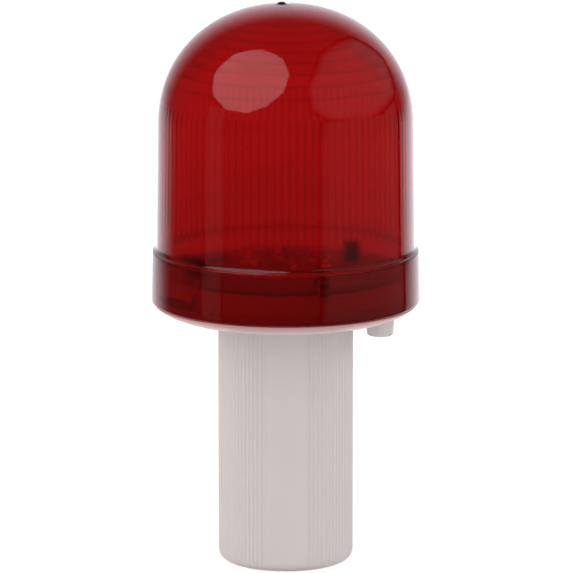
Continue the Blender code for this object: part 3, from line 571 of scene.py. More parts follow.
mouldLook = {"dust": (0.45, 0.40, 0.36), "dustShare": 0.5, "roughSpread": 0.12, "scuffRough": 0.12,
             "scuffDepth": 0.6}


def mouldedFinish(name, colour, roughness, spread=0.05, skin=6e-6, grooveShade=0.0, specks=0.0, glow=None):
    look = mouldLook
    material, tree, shader = newFinish(name)
    mould = placed(tree, mouldGroup, {"Cloud Spread": spread})
    scuff = placed(tree, scuffGroup)["Mask"]
    tone = mould["Tone"]
    if grooveShade:
        tone = times(tone, timesPlus(attribute(tree, "groove"), -grooveShade, 1.0))
    # painted light: the colour turns towards the glow colour higher up, standing in for the red light the lens
    # casts on the dish
    if glow:
        low, high, tint = glow
        colour = blendColour(ramp(split(ownSpace(tree))[2], low * mm, high * mm), colour, tint)
    skinColour = toned(colour, tone)
    if specks:
        dust = placed(tree, speckGroup, {"Share": specks})["Mask"]
        skinColour = blendColour(times(dust, look["dustShare"]), skinColour, look["dust"])
    rough = timesPlus(mould["Cloud"], look["roughSpread"], roughness - look["roughSpread"] / 2)
    height = timesPlus(scuff, -look["scuffDepth"], mould["Skin"])
    feed(shader, {"Base Color": skinColour, "Roughness": timesPlus(scuff, look["scuffRough"], rough),
                  "Normal": bump(height, skin)})
    return material


metalLook = {"roughSpread": 0.2, "scuffRough": 0.15, "skin": 4e-6}


def metalFinish(name, colour, roughness, streak=700.0):
    look = metalLook
    material, tree, shader = newFinish(name)
    brush = placed(tree, brushGroup, {"Streak Scale": streak})
    scuff = placed(tree, scuffGroup)["Mask"]
    rough = timesPlus(brush["Gloss"], look["roughSpread"], roughness - look["roughSpread"] / 2)
    feed(shader, {"Metallic": 1.0, "Base Color": toned(colour, brush["Tone"]),
                  "Roughness": timesPlus(scuff, look["scuffRough"], rough),
                  "Normal": bump(brush["Gloss"], look["skin"])})
    return material


partMetalLook = {"mould": {"Cloud Scale": 160.0, "Cloud Spread": 0.08}, "band": (0.62, 0.60, 0.55),
                 "roughSpread": 0.15, "roughDrop": 0.07, "skin": 4e-6}


def partMetalFinish(name, colour, metalColour, roughness):      # faces marked bareMetal show plating
    look = partMetalLook
    material, tree, shader = newFinish(name)
    mould = placed(tree, mouldGroup, look["mould"])
    brush = placed(tree, brushGroup)
    bare = attribute(tree, "bareMetal")
    jacket = blendColour(attribute(tree, "paleBand"), toned(colour, mould["Tone"]), look["band"])
    plating = toned(metalColour, brush["Tone"])
    rough = timesPlus(mould["Cloud"], look["roughSpread"], roughness - look["roughDrop"])
    feed(shader, {"Metallic": bare, "Base Color": blendColour(bare, jacket, plating), "Roughness": rough,
                  "Normal": bump(mould["Skin"], look["skin"])})
    return material


# Red lens: outer shell, inner flutes, inner rings in the dome, ledge, skirt, bayonet tabs and one short rib

lensLow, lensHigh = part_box("lens_dome")
lensForm = {
    "segments": 800, "skirtWall": 2.5, "skirtDraft": 0.4, "skirtHeight": 15.5, "skirtEdge": 0.8,
    "ledgeStep": 1.25, "ledgeHeight": 1.8, "ledgeEdge": 0.3, "wall": 2.2, "shelf": 1.1, "draft": 0.45,
    "body": 38.3, "wallShares": (0.3, 0.6, 0.9),
    "domeHeight": 35.9, "domePower": 2.1, "domeRows": (84, 80.5, 77, *range(73, 0, -4), 0),
    "gateRadius": 1.35, "gateDrop": 0.09, "gateShift": -1.2, "gateShare": 2.5,
    "innerRows": (98.5, 101.5, 102.4, 103.3, 104.2, 105.1, 106.0, 115.0, 124.0), "hazeTop": 110.0,
    "plainRows": (4.0, 8.0, 9.6, 10.1, 10.5, 11.2, 14.0, 66.0, 71.0, 76.0, 81.0, 85.5),
    "ringFirst": 19.8, "ringStep": 6.0, "ringCount": 8, "ringDepth": 0.02, "ringHalf": 1.1, "ringFlat": 0.35,
    "flutes": 100, "fluteDepth": 0.055, "fluteShape": 3.5, "fluteFoot": 101.5, "fluteFade": 4.5,
    "fluteTop": 139.6, "fluteTopFade": 0.5,
    "tabLow": 81.5, "tabHigh": 83.3, "tabs": 2, "tabDepth": 1.8, "tabSpan": 26.0, "tabMiddle": -150.0,
    "ribWidth": 3.0, "ribLow": 86.8, "ribHigh": 91.6, "ribLean": -72.7,
    "clearShare": 0.3, "skirtShare": 1.8,       # shares of the haze inside
}
lensLook = {
    # the darker red is painted shade along the flute grooves and the dome's inner rings
    "surface": (0.97, 0.24, 0.24), "groove": (0.62, 0.12, 0.12), "ringShadeShare": 0.65,
    "inside": (0.975, 0.38, 0.385, 1.0), "density": 800.0, "ior": 1.49,
    "roughness": 0.035, "innerHaze": 0.15,      # the inner wall is hazy near its foot
    "dust": (0.95, 0.70, 0.70), "grains": 0.05, "dustShare": 0.5, "dustRough": 0.4,
    "mould": {"Cloud Scale": 45.0, "Cloud Spread": 0.10, "Skin Scale": 160.0}, "skin": 3e-5, "scuff": 0.05,
}


def redLensFinish():
    look = lensLook
    material, tree, shader = newFinish("redLens")
    mould = placed(tree, mouldGroup, look["mould"])
    scuff = placed(tree, scuffGroup)["Mask"]
    dust = placed(tree, speckGroup, {"Share": look["grains"]})["Mask"]
    # painted shade: the flute grooves, and more faintly the dome's inner rings, take the darker red
    grooveShadeMask = calc("MAXIMUM", attribute(tree, "groove"), times(attribute(tree, "ring"), look["ringShadeShare"]))
    body = toned(blendColour(grooveShadeMask, look["surface"], look["groove"]), mould["Tone"])
    marks = calc("MAXIMUM", times(scuff, look["scuff"]), times(dust, look["dustRough"]))
    polish = timesPlus(attribute(tree, "inner"), look["innerHaze"], look["roughness"])
    height = timesPlus(scuff, -look["scuff"], mould["Skin"])
    feed(shader, {"Transmission Weight": 1.0, "IOR": look["ior"], "Roughness": plus(marks, polish),
                  "Base Color": blendColour(times(dust, look["dustShare"]), body, look["dust"]),
                  "Normal": bump(height, look["skin"])})
    dye = addNode(tree, "ShaderNodeVolumeAbsorption", {"Color": look["inside"], "Density": look["density"]})
    feed(tree.nodes["Material Output"], {"Volume": dye.outputs[0]})
    return material


def domeAt(radius, height, polar):      # the dome's outline at an angle up from the springing line
    power = lensForm["domePower"]
    turn = math.atan((math.tan(math.radians(polar)) * radius / height) ** (power / 2))
    return radius * math.cos(turn) ** (2 / power), height * math.sin(turn) ** (2 / power)


def lensOutline():      # rows of radius, height and the shares of reeding, ring and haze
    form = lensForm
    rows = []

    def addRows(points, reeded=0, ring=0, inner=0):
        rows.extend((*point, reeded, ring, inner) for point in points)

    skirt, foot, top = lensHigh.x / mm, lensLow.z / mm, lensHigh.z / mm
    ledge = foot + form["skirtHeight"]
    spring = ledge + form["body"]
    skirtTop = skirt - form["skirtDraft"]
    inside = skirt - form["skirtWall"]
    wallFoot = skirtTop - form["ledgeStep"]
    domeRadius = wallFoot - form["draft"]
    gate, power = form["gateRadius"], form["domePower"]
    gateFoot = spring + form["domeHeight"] * (1 - (gate / domeRadius) ** power) ** (1 / power)
    mound = filleted([(0.0, top - 0.06), (gate * 0.3, top, 0.2), (gate * 0.62, top - 0.04, 0.3),
                      (gate, gateFoot + 0.12, 0.3), (gate * 1.35, gateFoot - 0.03)], 2)
    for point in mound:
        addRows([point], inner=form["gateShare"] if point[0] < gate else 0)
    dome = [domeAt(domeRadius, form["domeHeight"], polar) for polar in form["domeRows"]]
    addRows([(run, spring + rise) for run, rise in dome])
    fall = spring - ledge - form["ledgeHeight"]
    addRows([(domeRadius + form["draft"] * share, spring - fall * share) for share in form["wallShares"]])
    for step in range(8):
        lean = math.pi * (1 + step / 16)
        addRows([(skirtTop + form["ledgeStep"] * math.cos(lean),
                  ledge + form["ledgeHeight"] * (1 + math.sin(lean)))])
    skirtWall = filleted([(skirtTop - 0.5, ledge + 0.05), (skirtTop, ledge, form["ledgeEdge"]),
                          (skirt, foot + 2.0), (skirt, foot, form["skirtEdge"]),
                          (inside, foot, 0.25), (inside, foot + 1.5)], 3)
    clear, hazy = form["clearShare"], form["skirtShare"]
    for point in skirtWall[1:]:
        addRows([point], inner=0 if point[0] > inside + 0.01 else hazy)
    step = ledge - form["shelf"]
    innerFoot = wallFoot - form["wall"]
    edges = [form[label] for label in ("tabLow", "tabHigh", "ribLow", "ribHigh")]
    addRows([(inside, z) for z in (*edges, step - 0.25)], inner=hazy)
    addRows([(inside - 0.25, step), (innerFoot + 0.1, step)], inner=1)
    addRows([(innerFoot, step + 0.1)], reeded=1, inner=1)
    for z in (ledge + 1.0, *form["innerRows"], spring):
        share = (z - ledge) / (spring - ledge)
        addRows([(innerFoot - form["draft"] * share, z)], reeded=1, inner=1 if z < form["hazeTop"] else clear)
    angles = [(polar, 0.0) for polar in form["plainRows"]]
    for number in range(form["ringCount"]):
        ring = form["ringFirst"] + form["ringStep"] * number
        angles += [(ring + side * form["ringHalf"], 0.0) for side in (-1, 1)]
        angles += [(ring + side * form["ringFlat"], 1.0) for side in (-1, 1)]
    for polar, depth in sorted(angles):
        run, rise = domeAt(domeRadius - form["wall"], form["domeHeight"] - form["wall"], polar)
        lift = 1 + depth * form["ringDepth"] / math.hypot(run, rise)
        addRows([(run * lift, spring + rise * lift)], 1, depth, clear)
    addRows([(0.0, spring + form["domeHeight"] - form["wall"])], 1, 0, clear)
    return rows


def makeLens():
    form = lensForm
    rows = lensOutline()
    marks = {label: [row[place] for row in rows] for place, label in ((2, "reeded"), (3, "ring"), (4, "inner"))}
    lens = turned("redLens", [row[:2] for row in rows], form["segments"], marks)
    crown = lensLow.z + (form["skirtHeight"] + form["body"] + form["domeHeight"] - form["gateDrop"]) * mm
    for vertex in lens.data.vertices:       # the rough gate mark sits a little off the middle
        if vertex.co.z > crown:
            vertex.co.x += form["gateShift"] * mm
    inside = lensHigh.x / mm - form["skirtWall"]
    raised(lens, form["tabLow"], form["tabHigh"], inside, inside - form["tabDepth"],
           ringLeans(form["tabMiddle"], form["tabs"]), math.radians(form["tabSpan"]))
    raised(lens, form["ribLow"], form["ribHigh"], inside, inside - form["tabDepth"],
           [math.radians(form["ribLean"])], form["ribWidth"] / inside)
    grow(lens, reedTree, {
        "Count": float(form["flutes"]), "Depth": form["fluteDepth"] * mm, "Shape": form["fluteShape"],
        "Low": form["fluteFoot"] * mm, "High": form["fluteTop"] * mm,
        "Low Fade": form["fluteFade"] * mm, "High Fade": form["fluteTopFade"] * mm,
        "Plain Half": -1.0, "Plain Edge": 0.5, "Material": redLensFinish()})        # fluted all round
    settle(lens, "lens", "red_lens", "lens_dome")
    print("lens:", len(lens.data.polygons), "faces")


makeLens()


# Ribbed battery tube

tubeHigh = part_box("battery_tube")[1]
tubeForm = {
    "segments": 720, "ribs": 90, "ribDepth": 0.22, "ribShape": 0.8, "ribFoot": 0.3, "ribFade": 3.2,
    "ribTopFade": 0.25, "wallRows": (5.0, 8.0, 20.0, 35.0, 50.0, 65.0), "boreRow": 60.0,
    "wall": 2.19, "mouthRadius": 19.165, "mouthDepth": 1.3, "floor": 2.2, "corner": 3.4, "rim": 0.9,
    "stripeHalf": 15.0, "stripeEdge": 3.5, "threadCore": 17.765, "threadRound": 1.0, "threadPitch": 4.0,
    "threadStart": 67.2, "threadFoot": 66.4, "threadFade": 1.0, "threadRow": 0.25,
}
whiteColour = {"tube": (0.82, 0.745, 0.715), "dish": (0.82, 0.745, 0.715), "button": (0.80, 0.73, 0.715),
               "glow": (0.74, 0.40, 0.36)}      # painted red light from the lens on the dish under its rim


def tubeOutline():      # rows of radius, height and the shares of reeding and thread
    form = tubeForm
    radius, top = tubeHigh.x / mm, tubeHigh.z / mm
    corner, mouth, floor = form["corner"], form["mouthRadius"], form["floor"]
    bore, ribTop, mouthFoot = radius - form["wall"], top - form["rim"], top - form["mouthDepth"]
    rows = [(r, 0.0, 0, 0) for r in (0.0, radius - corner - 3.0, radius - corner)]
    for step in range(1, 9):
        lean = math.pi / 2 * step / 8
        rows.append((radius - corner + corner * math.sin(lean), corner - corner * math.cos(lean), 1, 0))
    rows += [(radius, z, 1, 0) for z in (*form["wallRows"], ribTop - 0.8, ribTop - 0.25, ribTop)]
    rim = filleted([(radius, ribTop), (radius, top, 0.25), (mouth, top, 0.2), (mouth, mouthFoot)])
    rows += [(*point, 0, 0) for point in rim[1:]]
    heights = np.arange(mouthFoot, form["threadFoot"] - 1.5, -form["threadRow"])
    rows += [(bore, float(z), 0, 1) for z in heights]
    rows += [(*point, 0, 0) for point in filleted([(bore, form["boreRow"]), (bore, floor, 0.8), (0.0, floor)])]
    return rows


def makeTube():
    form = tubeForm
    rows = tubeOutline()
    tube = turned("ribbedTube", [row[:2] for row in rows], form["segments"],
                  {"reeded": [row[2] for row in rows], "threaded": [row[3] for row in rows]})
    finish = mouldedFinish("whiteTube", whiteColour["tube"], roughness=0.40, grooveShade=0.03, specks=0.06)
    top = tubeHigh.z / mm
    grow(tube, threadTree, {
        "Core Radius": form["threadCore"] * mm, "Round": form["threadRound"] * mm,
        "Pitch": form["threadPitch"] * mm, "Start": form["threadStart"] * mm,
        "Low": (form["threadFoot"] - 1.0) * mm, "High": (top + 2.0) * mm,
        "Fade": form["threadFade"] * mm, "Material": finish})
    grow(tube, reedTree, {
        "Count": float(form["ribs"]), "Depth": -form["ribDepth"] * mm, "Shape": form["ribShape"],
        "Low": form["ribFoot"] * mm, "High": (top - form["rim"]) * mm,
        "Low Fade": form["ribFade"] * mm, "High Fade": form["ribTopFade"] * mm,
        "Plain Middle": -math.pi / 2, "Plain Half": math.radians(form["stripeHalf"]),
        "Plain Edge": math.radians(form["stripeEdge"]), "Material": finish})
    settle(tube, "tube", "white_plastic", "battery_tube")
    print("tube:", len(tube.data.polygons), "faces")


makeTube()


# White dish with spigot, ring wall, lugs, stops, screw posts and key

buttonSpot = middleOf("button_cap")
dishForm = {
    "segments": 288, "flat": 74.7, "seat": 75.2, "floor": 76.9, "rim": 78.9, "ringTop": 87.4,
    "partition": 68.2, "partitionTop": 70.2, "spigotFoot": 66.2, "radius": 39.295, "flatRadius": 28.005,
    "seatRadius": 20.555, "spigot": 17.765, "spigotBore": 15.565, "ringInner": 33.995, "ringOuter": 35.395,
    "depth": 3.8, "wallRow": 82.0, "rimRow": 80.0, "lugLow": 83.8, "lugHigh": 86.3, "lugOuter": 37.195,
    "lugSpan": 28.0, "lugMiddle": -150.0, "lugs": 2, "stopWidth": 1.4, "stopOffset": 14.95, "stopFoot": 81.5,
    "postRing": 31.395, "postRadius": 3.0, "postStart": 49.5, "posts": 3, "keySide": 3.2, "keyFoot": 48.2,
    "pilot": 1.55, "pilotSpan": (80.6, 88.4), "buttonHole": 4.5, "buttonSpan": (73.0, 78.0),
    "leadHole": 1.0, "leadSpan": (67.0, 71.2), "cellOffset": 7.4, "edge": 0.15,
    "threadRound": 0.7, "threadTop": 73.3, "threadFade": 0.8, "threadRow": 0.25, "paintedGlowSpan": (75.9, 78.5),
}


def postSpots():
    leans = [math.radians(dishForm["postStart"] + 120 * third) for third in range(dishForm["posts"])]
    return [ringSpot(dishForm["postRing"], lean) for lean in leans]


def dishOutline():
    form = dishForm
    radius, flatRadius, rim, floor = form["radius"], form["flatRadius"], form["rim"], form["floor"]
    ringInner, ringOuter, ringTop = form["ringInner"], form["ringOuter"], form["ringTop"]
    spigot, bore, foot = form["spigot"], form["spigotBore"], form["spigotFoot"]
    seatRadius, seat, flat = form["seatRadius"], form["seat"], form["flat"]
    partition, partitionTop = form["partition"], form["partitionTop"]
    run = radius - flatRadius
    sweep = (run * run + form["depth"] ** 2) / (2 * form["depth"])
    reach = math.asin(run / sweep)
    bowl = []
    for step in range(13):
        lean = reach * (1 - step / 12)
        bowl.append((flatRadius + sweep * math.sin(lean), flat + sweep * (1 - math.cos(lean))))
    upper = filleted([(0.0, partitionTop), (bore, partitionTop, 0.3), (bore, floor, 0.4), (ringInner, floor, 0.4),
                      (ringInner, ringTop, 0.2), (ringOuter, ringTop, 0.2), (ringOuter, form["lugHigh"])])
    wall = [(ringOuter, form["lugLow"]), (ringOuter, form["wallRow"])]
    edge = filleted([(ringOuter, form["rimRow"]), (ringOuter, rim, 0.3), (radius, rim, 0.22),
                     (radius, rim - 0.4, 0.15), bowl[1]])[1:-1]
    under = filleted([bowl[-1], (seatRadius, flat, 0.1), (seatRadius, seat), (spigot, seat)])[1:]
    heights = np.arange(seat - form["threadRow"], foot + 0.3, -form["threadRow"])
    thread = [(spigot, float(z)) for z in heights]
    lower = filleted([(spigot, foot + 0.3), (spigot, foot, 0.2), (bore, foot, 0.2), (bore, partition, 0.3),
                      (0.0, partition)], 2)[1:]
    plain = upper + wall + edge + bowl[1:] + under
    return plain + thread + lower, [0] * len(plain) + [1] * len(thread) + [0] * len(lower)


def dishAdditions():
    form = dishForm
    root = form["ringOuter"] - 0.7
    stopFoot, stopTop = form["stopFoot"], form["lugHigh"] - 0.05
    parts = []
    for lean in ringLeans(form["lugMiddle"] - form["stopOffset"], form["lugs"]):
        spot = ringSpot((root + form["lugOuter"]) / 2, lean)
        parts.append(block("stop", (form["lugOuter"] - root, form["stopWidth"], stopTop - stopFoot),
                           (*spot, (stopTop + stopFoot) / 2), lean, form["edge"]))
    foot, top = form["floor"] - 1.0, form["ringTop"] - 0.02
    parts += [rod("post", form["postRadius"], foot, top, 48, spot) for spot in postSpots()]
    side, keyFoot, keyTop = form["keySide"], form["keyFoot"], form["partition"] + 1.0
    parts.append(block("key", (side, side, keyTop - keyFoot), (0, 0, (keyTop + keyFoot) / 2), math.pi / 4,
                       form["edge"]))
    return merged("dishAdditions", parts)


def dishHoles():
    form = dishForm
    offset = form["cellOffset"]
    parts = [rod("hole", form["buttonHole"], *form["buttonSpan"], 64, buttonSpot)]
    parts += [rod("hole", form["pilot"], *form["pilotSpan"], 32, spot) for spot in postSpots()]
    parts += [rod("hole", form["leadHole"], *form["leadSpan"], 24, (offset, side * offset)) for side in (1, -1)]
    return merged("dishHoles", parts)


def makeDish():
    form = dishForm
    outline, threaded = dishOutline()
    dish = turned("whiteDish", outline, form["segments"], {"threaded": threaded})
    raised(dish, form["lugLow"], form["lugHigh"], form["ringOuter"], form["lugOuter"],
           ringLeans(form["lugMiddle"], form["lugs"]), math.radians(form["lugSpan"]))
    finish = mouldedFinish("whiteDish", whiteColour["dish"], roughness=0.36, specks=0.05,
                           glow=(*form["paintedGlowSpan"], whiteColour["glow"]))
    grow(dish, threadTree, {
        "Core Radius": form["spigot"] * mm, "Round": form["threadRound"] * mm,
        "Pitch": tubeForm["threadPitch"] * mm, "Start": tubeForm["threadStart"] * mm,
        "Low": (form["spigotFoot"] + 0.4) * mm, "High": form["threadTop"] * mm,
        "Fade": form["threadFade"] * mm, "Material": finish})
    combined(dish, dishAdditions(), "UNION")
    combined(dish, dishHoles(), "DIFFERENCE")
    coat(dish, finish)
    crisp(dish.data)
    settle(dish, "base", "white_plastic", "base_housing")
    print("dish:", len(dish.data.polygons), "faces")


makeDish()


# Push button with its spring

buttonForm = {
    "radius": 4.2, "tip": 3.9, "tipEdge": 0.8, "stem": 1.6, "stemTop": 81.0, "capTop": 78.5, "skirt": 74.7,
    "earWidth": 3.0, "earReach": 11.4, "earLow": 77.2, "earHigh": 78.2, "earEdge": 0.1, "lean": -15.4,
    "springRadius": 2.4, "springWire": 0.25, "springLow": 78.8, "springHigh": 82.8, "springTurns": 4.5,
    "travel": 1.5,
}
flatEnd = 0.12      # share of a coil in each end turn, which lies nearly flat


def coilPath(footRadius, tipRadius, low, high, turns, wire, x=0.0, y=0.0, steps=28):
    path = []
    count = int(turns * steps)
    for step in range(count + 1):
        share = step / count
        across, along = ringSpot(footRadius + (tipRadius - footRadius) * share, fullTurn * turns * share)
        climb = min(max((share - flatEnd) / (1 - 2 * flatEnd), 0.0), 1.0)
        climb = flatEnd * share + (1 - flatEnd) * climb
        path.append((x + across, y + along, low + wire + (high - low - 2 * wire) * climb))
    return path


def makeButton():
    form = buttonForm
    radius, stem, tip = form["radius"], form["stem"], form["tip"]
    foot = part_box("button_cap")[0].z / mm
    cap = [(0.0, form["stemTop"]), (stem, form["stemTop"], 0.2), (stem, form["capTop"], 0.3),
           (radius, form["capTop"], 0.15), (radius, form["skirt"]), (tip, foot + 0.12, form["tipEdge"]),
           (tip * 0.5, foot + 0.03), (0.0, foot)]
    button = moved(turned("pushButton", filleted(cap, 6), 96), *buttonSpot)
    low, high = form["earLow"], form["earHigh"]
    ears = block("ears", (form["earWidth"], form["earReach"], high - low), (*buttonSpot, (low + high) / 2),
                 math.radians(form["lean"]), form["earEdge"])
    combined(button, ears, "UNION")
    coat(button, mouldedFinish("whiteButton", whiteColour["button"], roughness=0.42, specks=0.05))
    crisp(button.data)
    settle(button, "button", "white_plastic", "button_cap")
    low, high = form["springLow"], form["springHigh"]
    path = coilPath(form["springRadius"], form["springRadius"], low, high, form["springTurns"],
                    form["springWire"], *buttonSpot)
    spring = wired("buttonSpring", path, form["springWire"], springFinish)
    settle(spring, "button", "spring_steel", "button_spring")
    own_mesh(spring)
    print("button:", len(button.data.polygons), "faces")


springFinish = metalFinish("brightSpringWire", (0.72, 0.72, 0.73), roughness=0.30)
nickelFinish = metalFinish("nickelPlate", (0.72, 0.69, 0.62), roughness=0.28, streak=420.0)
steelFinish = metalFinish("blackScrew", (0.13, 0.13, 0.14), roughness=0.38, streak=1500.0)
blackFinish = mouldedFinish("blackMoulding", (0.025, 0.025, 0.027), roughness=0.48, spread=0.3)
makeButton()


# Circuit board and what stands on it

boardLow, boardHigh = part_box("circuit_board")
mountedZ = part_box("led_1")[0].z / mm
boardForm = {"segments": 192, "edge": 0.12, "screwHole": 1.55, "ledRing": 12.5, "ledStart": -77.0, "leds": 6}
boardLook = {
    "sheet": (0.42, 0.25, 0.115), "copper": (0.48, 0.23, 0.08), "copperShare": 0.55, "copperRise": 3.0,
    "tracks": ((18.2, 1.0, 0.8), (7.4, 0.9, 0.7)), "inkRing": (3.3, 0.16, 0.10),      # radius, half widths
    "ink": (0.75, 0.73, 0.68), "mould": {"Cloud Scale": 240.0, "Cloud Spread": 0.35, "Skin Scale": 3200.0},
    "roughSpread": 0.2, "roughLow": 0.3, "skin": 1e-5,
}


def phenolicFinish():
    look = boardLook
    material, tree, shader = newFinish("phenolicBoard")
    mould = placed(tree, mouldGroup, look["mould"])
    x, y = split(ownSpace(tree))[:2]
    radius = hypot(x, y)
    angle = minus(calc("ARCTAN2", y, x), math.radians(boardForm["ledStart"]))
    lean = calc("WRAP", angle, math.pi / boardForm["leds"], -math.pi / boardForm["leds"])
    across = times(radius, calc("SINE", lean))
    along = minus(times(radius, calc("COSINE", lean)), boardForm["ledRing"] * mm)

    def band(distance, middle, outer, inner):
        return ramp(calc("ABSOLUTE", minus(distance, middle * mm)), outer * mm, inner * mm)

    tracks = [band(radius, *track) for track in look["tracks"]]
    copper = times(calc("MAXIMUM", *tracks), look["copperShare"])
    base = blendColour(copper, toned(look["sheet"], mould["Tone"]), look["copper"])
    printed = band(hypot(across, along), *look["inkRing"])
    height = plus(mould["Skin"], times(copper, look["copperRise"]))
    feed(shader, {"Base Color": blendColour(printed, base, look["ink"]), "Normal": bump(height, look["skin"]),
                  "Roughness": timesPlus(mould["Cloud"], look["roughSpread"], look["roughLow"])})
    return material


def makeBoard():
    form = boardForm
    radius, low, high = boardHigh.x / mm, boardLow.z / mm, boardHigh.z / mm
    outline = [(0.0, low), (radius, low, form["edge"]), (radius, high, form["edge"]), (0.0, high)]
    board = turned("phenolicBoard", filleted(outline, 2), form["segments"])
    holes = [rod("hole", form["screwHole"], low - 1, high + 1, 32, spot) for spot in postSpots()]
    combined(board, merged("boardHoles", holes), "DIFFERENCE")
    coat(board, phenolicFinish())
    crisp(board.data)
    settle(board, "base", "board_phenolic", "circuit_board")
    print("board:", len(board.data.polygons), "faces")


makeBoard()

ledForm = {
    "radius": 2.5, "flange": 2.9, "flangeHeight": 1.0, "body": 1.5,
    "cup": ((0.0, 1.6), (0.4, 1.6), (0.75, 2.1, 0.05), (0.75, 1.5, 0.15), (0.4, 1.1, 0.1), (0.0, 1.1)),
    "cupPlace": -0.35, "frameEdge": 0.05,
    "frame": (("anvil", (0.5, 0.5, 1.2), (0.0, -1.27, 0.8)), ("anvilTop", (0.8, 0.7, 0.4), (0.0, -0.95, 1.3)),
              ("postLeg", (0.5, 0.5, 1.4), (0.0, 1.27, 0.9))),
}
ledLook = {"colour": (0.90, 0.30, 0.27), "roughness": 0.06, "roughSpread": 0.06, "ior": 1.53, "skin": 3e-6,
           "mould": {"Cloud Scale": 300.0, "Cloud Spread": 0.12, "Skin Scale": 900.0}}


def ledFinish():
    look = ledLook
    material, tree, shader = newFinish("redEpoxy")
    mould = placed(tree, mouldGroup, look["mould"])
    feed(shader, {"Transmission Weight": 1.0, "IOR": look["ior"],
                  "Base Color": toned(look["colour"], mould["Tone"]),
                  "Roughness": timesPlus(mould["Cloud"], look["roughSpread"], look["roughness"]),
                  "Normal": bump(mould["Skin"], look["skin"])})
    return material


def makeLeds():
    form = ledForm
    radius, flange, shoulder = form["radius"], form["flange"], form["flangeHeight"]
    outline = filleted([(0.0, 0.0), (flange, 0.0, 0.1), (flange, shoulder, 0.15), (radius, shoulder, 0.1),
                        (radius, form["body"])], 3)
    for step in range(1, 11):
        run, rise = ringSpot(radius, math.pi / 2 * step / 10)
        outline.append((run if step < 10 else 0.0, form["body"] + rise))
    ring = (boardForm["leds"], boardForm["ledRing"], boardForm["ledStart"], mountedZ)
    bodies = onRing("ledBodies", turned("led", outline, 48), *ring, ledFinish())
    settle(bodies, "base", "led_epoxy", *[f"led_{number}" for number in range(1, 7)])
    legs = [moved(turned("cup", filleted(form["cup"], 2), 24), 0.0, form["cupPlace"])]
    legs += [block(name, size, place, 0.0, form["frameEdge"]) for name, size, place in form["frame"]]
    frames = onRing("ledFrames", merged("frame", legs), *ring, nickelFinish)
    settle(frames, "base", "contact_plate")
    print("leds:", len(bodies.data.polygons), "faces")


makeLeds()

screwForm = {
    "head": 2.2, "headTop": 1.7, "headHeight": 2.4, "shank": 1.25, "length": 8.0, "core": 0.95,
    "neck": 0.6, "threadTop": 0.7, "unthreaded": 2.2, "tip": 1.3, "pitch": 0.9,
    "root": 0.45, "crest": (0.68, 0.76),        # shares of the pitch
    "crossLength": 2.6, "crossWidth": 0.7, "crossDepth": 1.0,
}


def makeScrews():
    form = screwForm
    head, shank, core, pitch = form["head"], form["shank"], form["core"], form["pitch"]
    height, length = form["headHeight"], form["length"]
    outline = filleted([(0.0, height), (form["headTop"], height, 0.6), (head, height * 0.5, 0.5),
                        (head, 0.0, 0.1), (shank, 0.0, 0.1), (shank, -form["neck"])], 3)
    for turn in range(int((length - form["unthreaded"]) / pitch)):      # thread shown as close rings
        top = -form["threadTop"] - turn * pitch
        outline += [(core, top), (core, top - pitch * form["root"])]
        outline += [(shank, top - pitch * share) for share in form["crest"]]
    outline += [(core, -length + form["tip"]), (0.0, -length)]
    screw = turned("screw", outline, 40)
    for lean in (0.0, math.pi / 2):
        size = (form["crossLength"], form["crossWidth"], form["crossDepth"] * 2)
        combined(screw, block("bar", size, (0, 0, height), lean), "DIFFERENCE")
    crisp(screw.data)
    screws = onRing("boardScrews", screw, dishForm["posts"], dishForm["postRing"], dishForm["postStart"], mountedZ,
                    steelFinish)
    settle(screws, "base", "screw_steel", *[f"board_screw_{number}" for number in range(1, 4)])


makeScrews()

canForm = {"radius": 2.5, "neck": 2.25, "top": 2.05, "dish": 2.0, "dishDepth": 0.12, "vent": (2.6, 0.18, 0.2),
           "bareRadius": 2.02, "bareDepth": 0.4, "bandFoot": 0.2, "bandFrom": -2.1}


def makeCapacitor():
    form = canForm
    radius, height = form["radius"], heightOf("capacitor")
    floor = height - form["dishDepth"]
    outline = filleted([(0.0, 0.0), (radius, 0.0, 0.3), (radius, 0.9, 0.15), (form["neck"], 1.15, 0.15),
                        (radius, 1.4, 0.15), (radius, height, 0.35), (form["top"], height, 0.1),
                        (form["dish"], floor), (0.0, floor)], 3)
    can = turned("capacitorCan", outline, 72)
    for lean in (0.0, math.pi / 2):
        combined(can, block("vent", form["vent"], (0, 0, floor), lean), "DIFFERENCE")
    faceMark(can, "bareMetal", lambda spot: spot.z > height - form["bareDepth"]
             and math.hypot(spot.x, spot.y) < form["bareRadius"])
    faceMark(can, "paleBand", lambda spot: spot.z > form["bandFoot"] and spot.x < form["bandFrom"])
    moved(can, *middleOf("capacitor"), mountedZ)
    coat(can, partMetalFinish("sleevedCan", (0.02, 0.024, 0.05), (0.75, 0.75, 0.76), roughness=0.36))
    crisp(can.data)
    settle(can, "base", "capacitor_sleeve", "capacitor")


sensorForm = {"radius": 2.7, "shoulder": 2.2, "shoulderDrop": 1.0, "rimDrop": 0.25, "rim": (1.7, 1.35),
              "window": 1.2, "windowDepth": 0.35}


def makeSensor():
    form = sensorForm
    radius, height = form["radius"], heightOf("light_sensor")
    floor = height - form["windowDepth"]
    outline = filleted([(0.0, 0.0), (radius, 0.0, 0.1), (radius, height - form["shoulderDrop"], 0.3),
                        (form["shoulder"], height - form["rimDrop"], 0.3), (form["rim"][0], height, 0.2),
                        (form["rim"][1], height, 0.1), (form["window"], floor, 0.1), (0.0, floor)], 4)
    sensor = moved(turned("lightSensorCap", outline, 72), *middleOf("light_sensor"), mountedZ)
    coat(sensor, mouldedFinish("darkSensor", (0.075, 0.068, 0.072), roughness=0.4, spread=0.2))
    settle(sensor, "base", "black_plastic", "light_sensor")


chipForm = {"legRoom": 2.2, "clear": 0.1, "lift": 0.15, "edge": 0.12, "legs": 4, "pitch": 1.27, "legWidth": 0.4,
            "sheet": 0.2, "legEdge": 0.04, "bareFrom": 1.09}


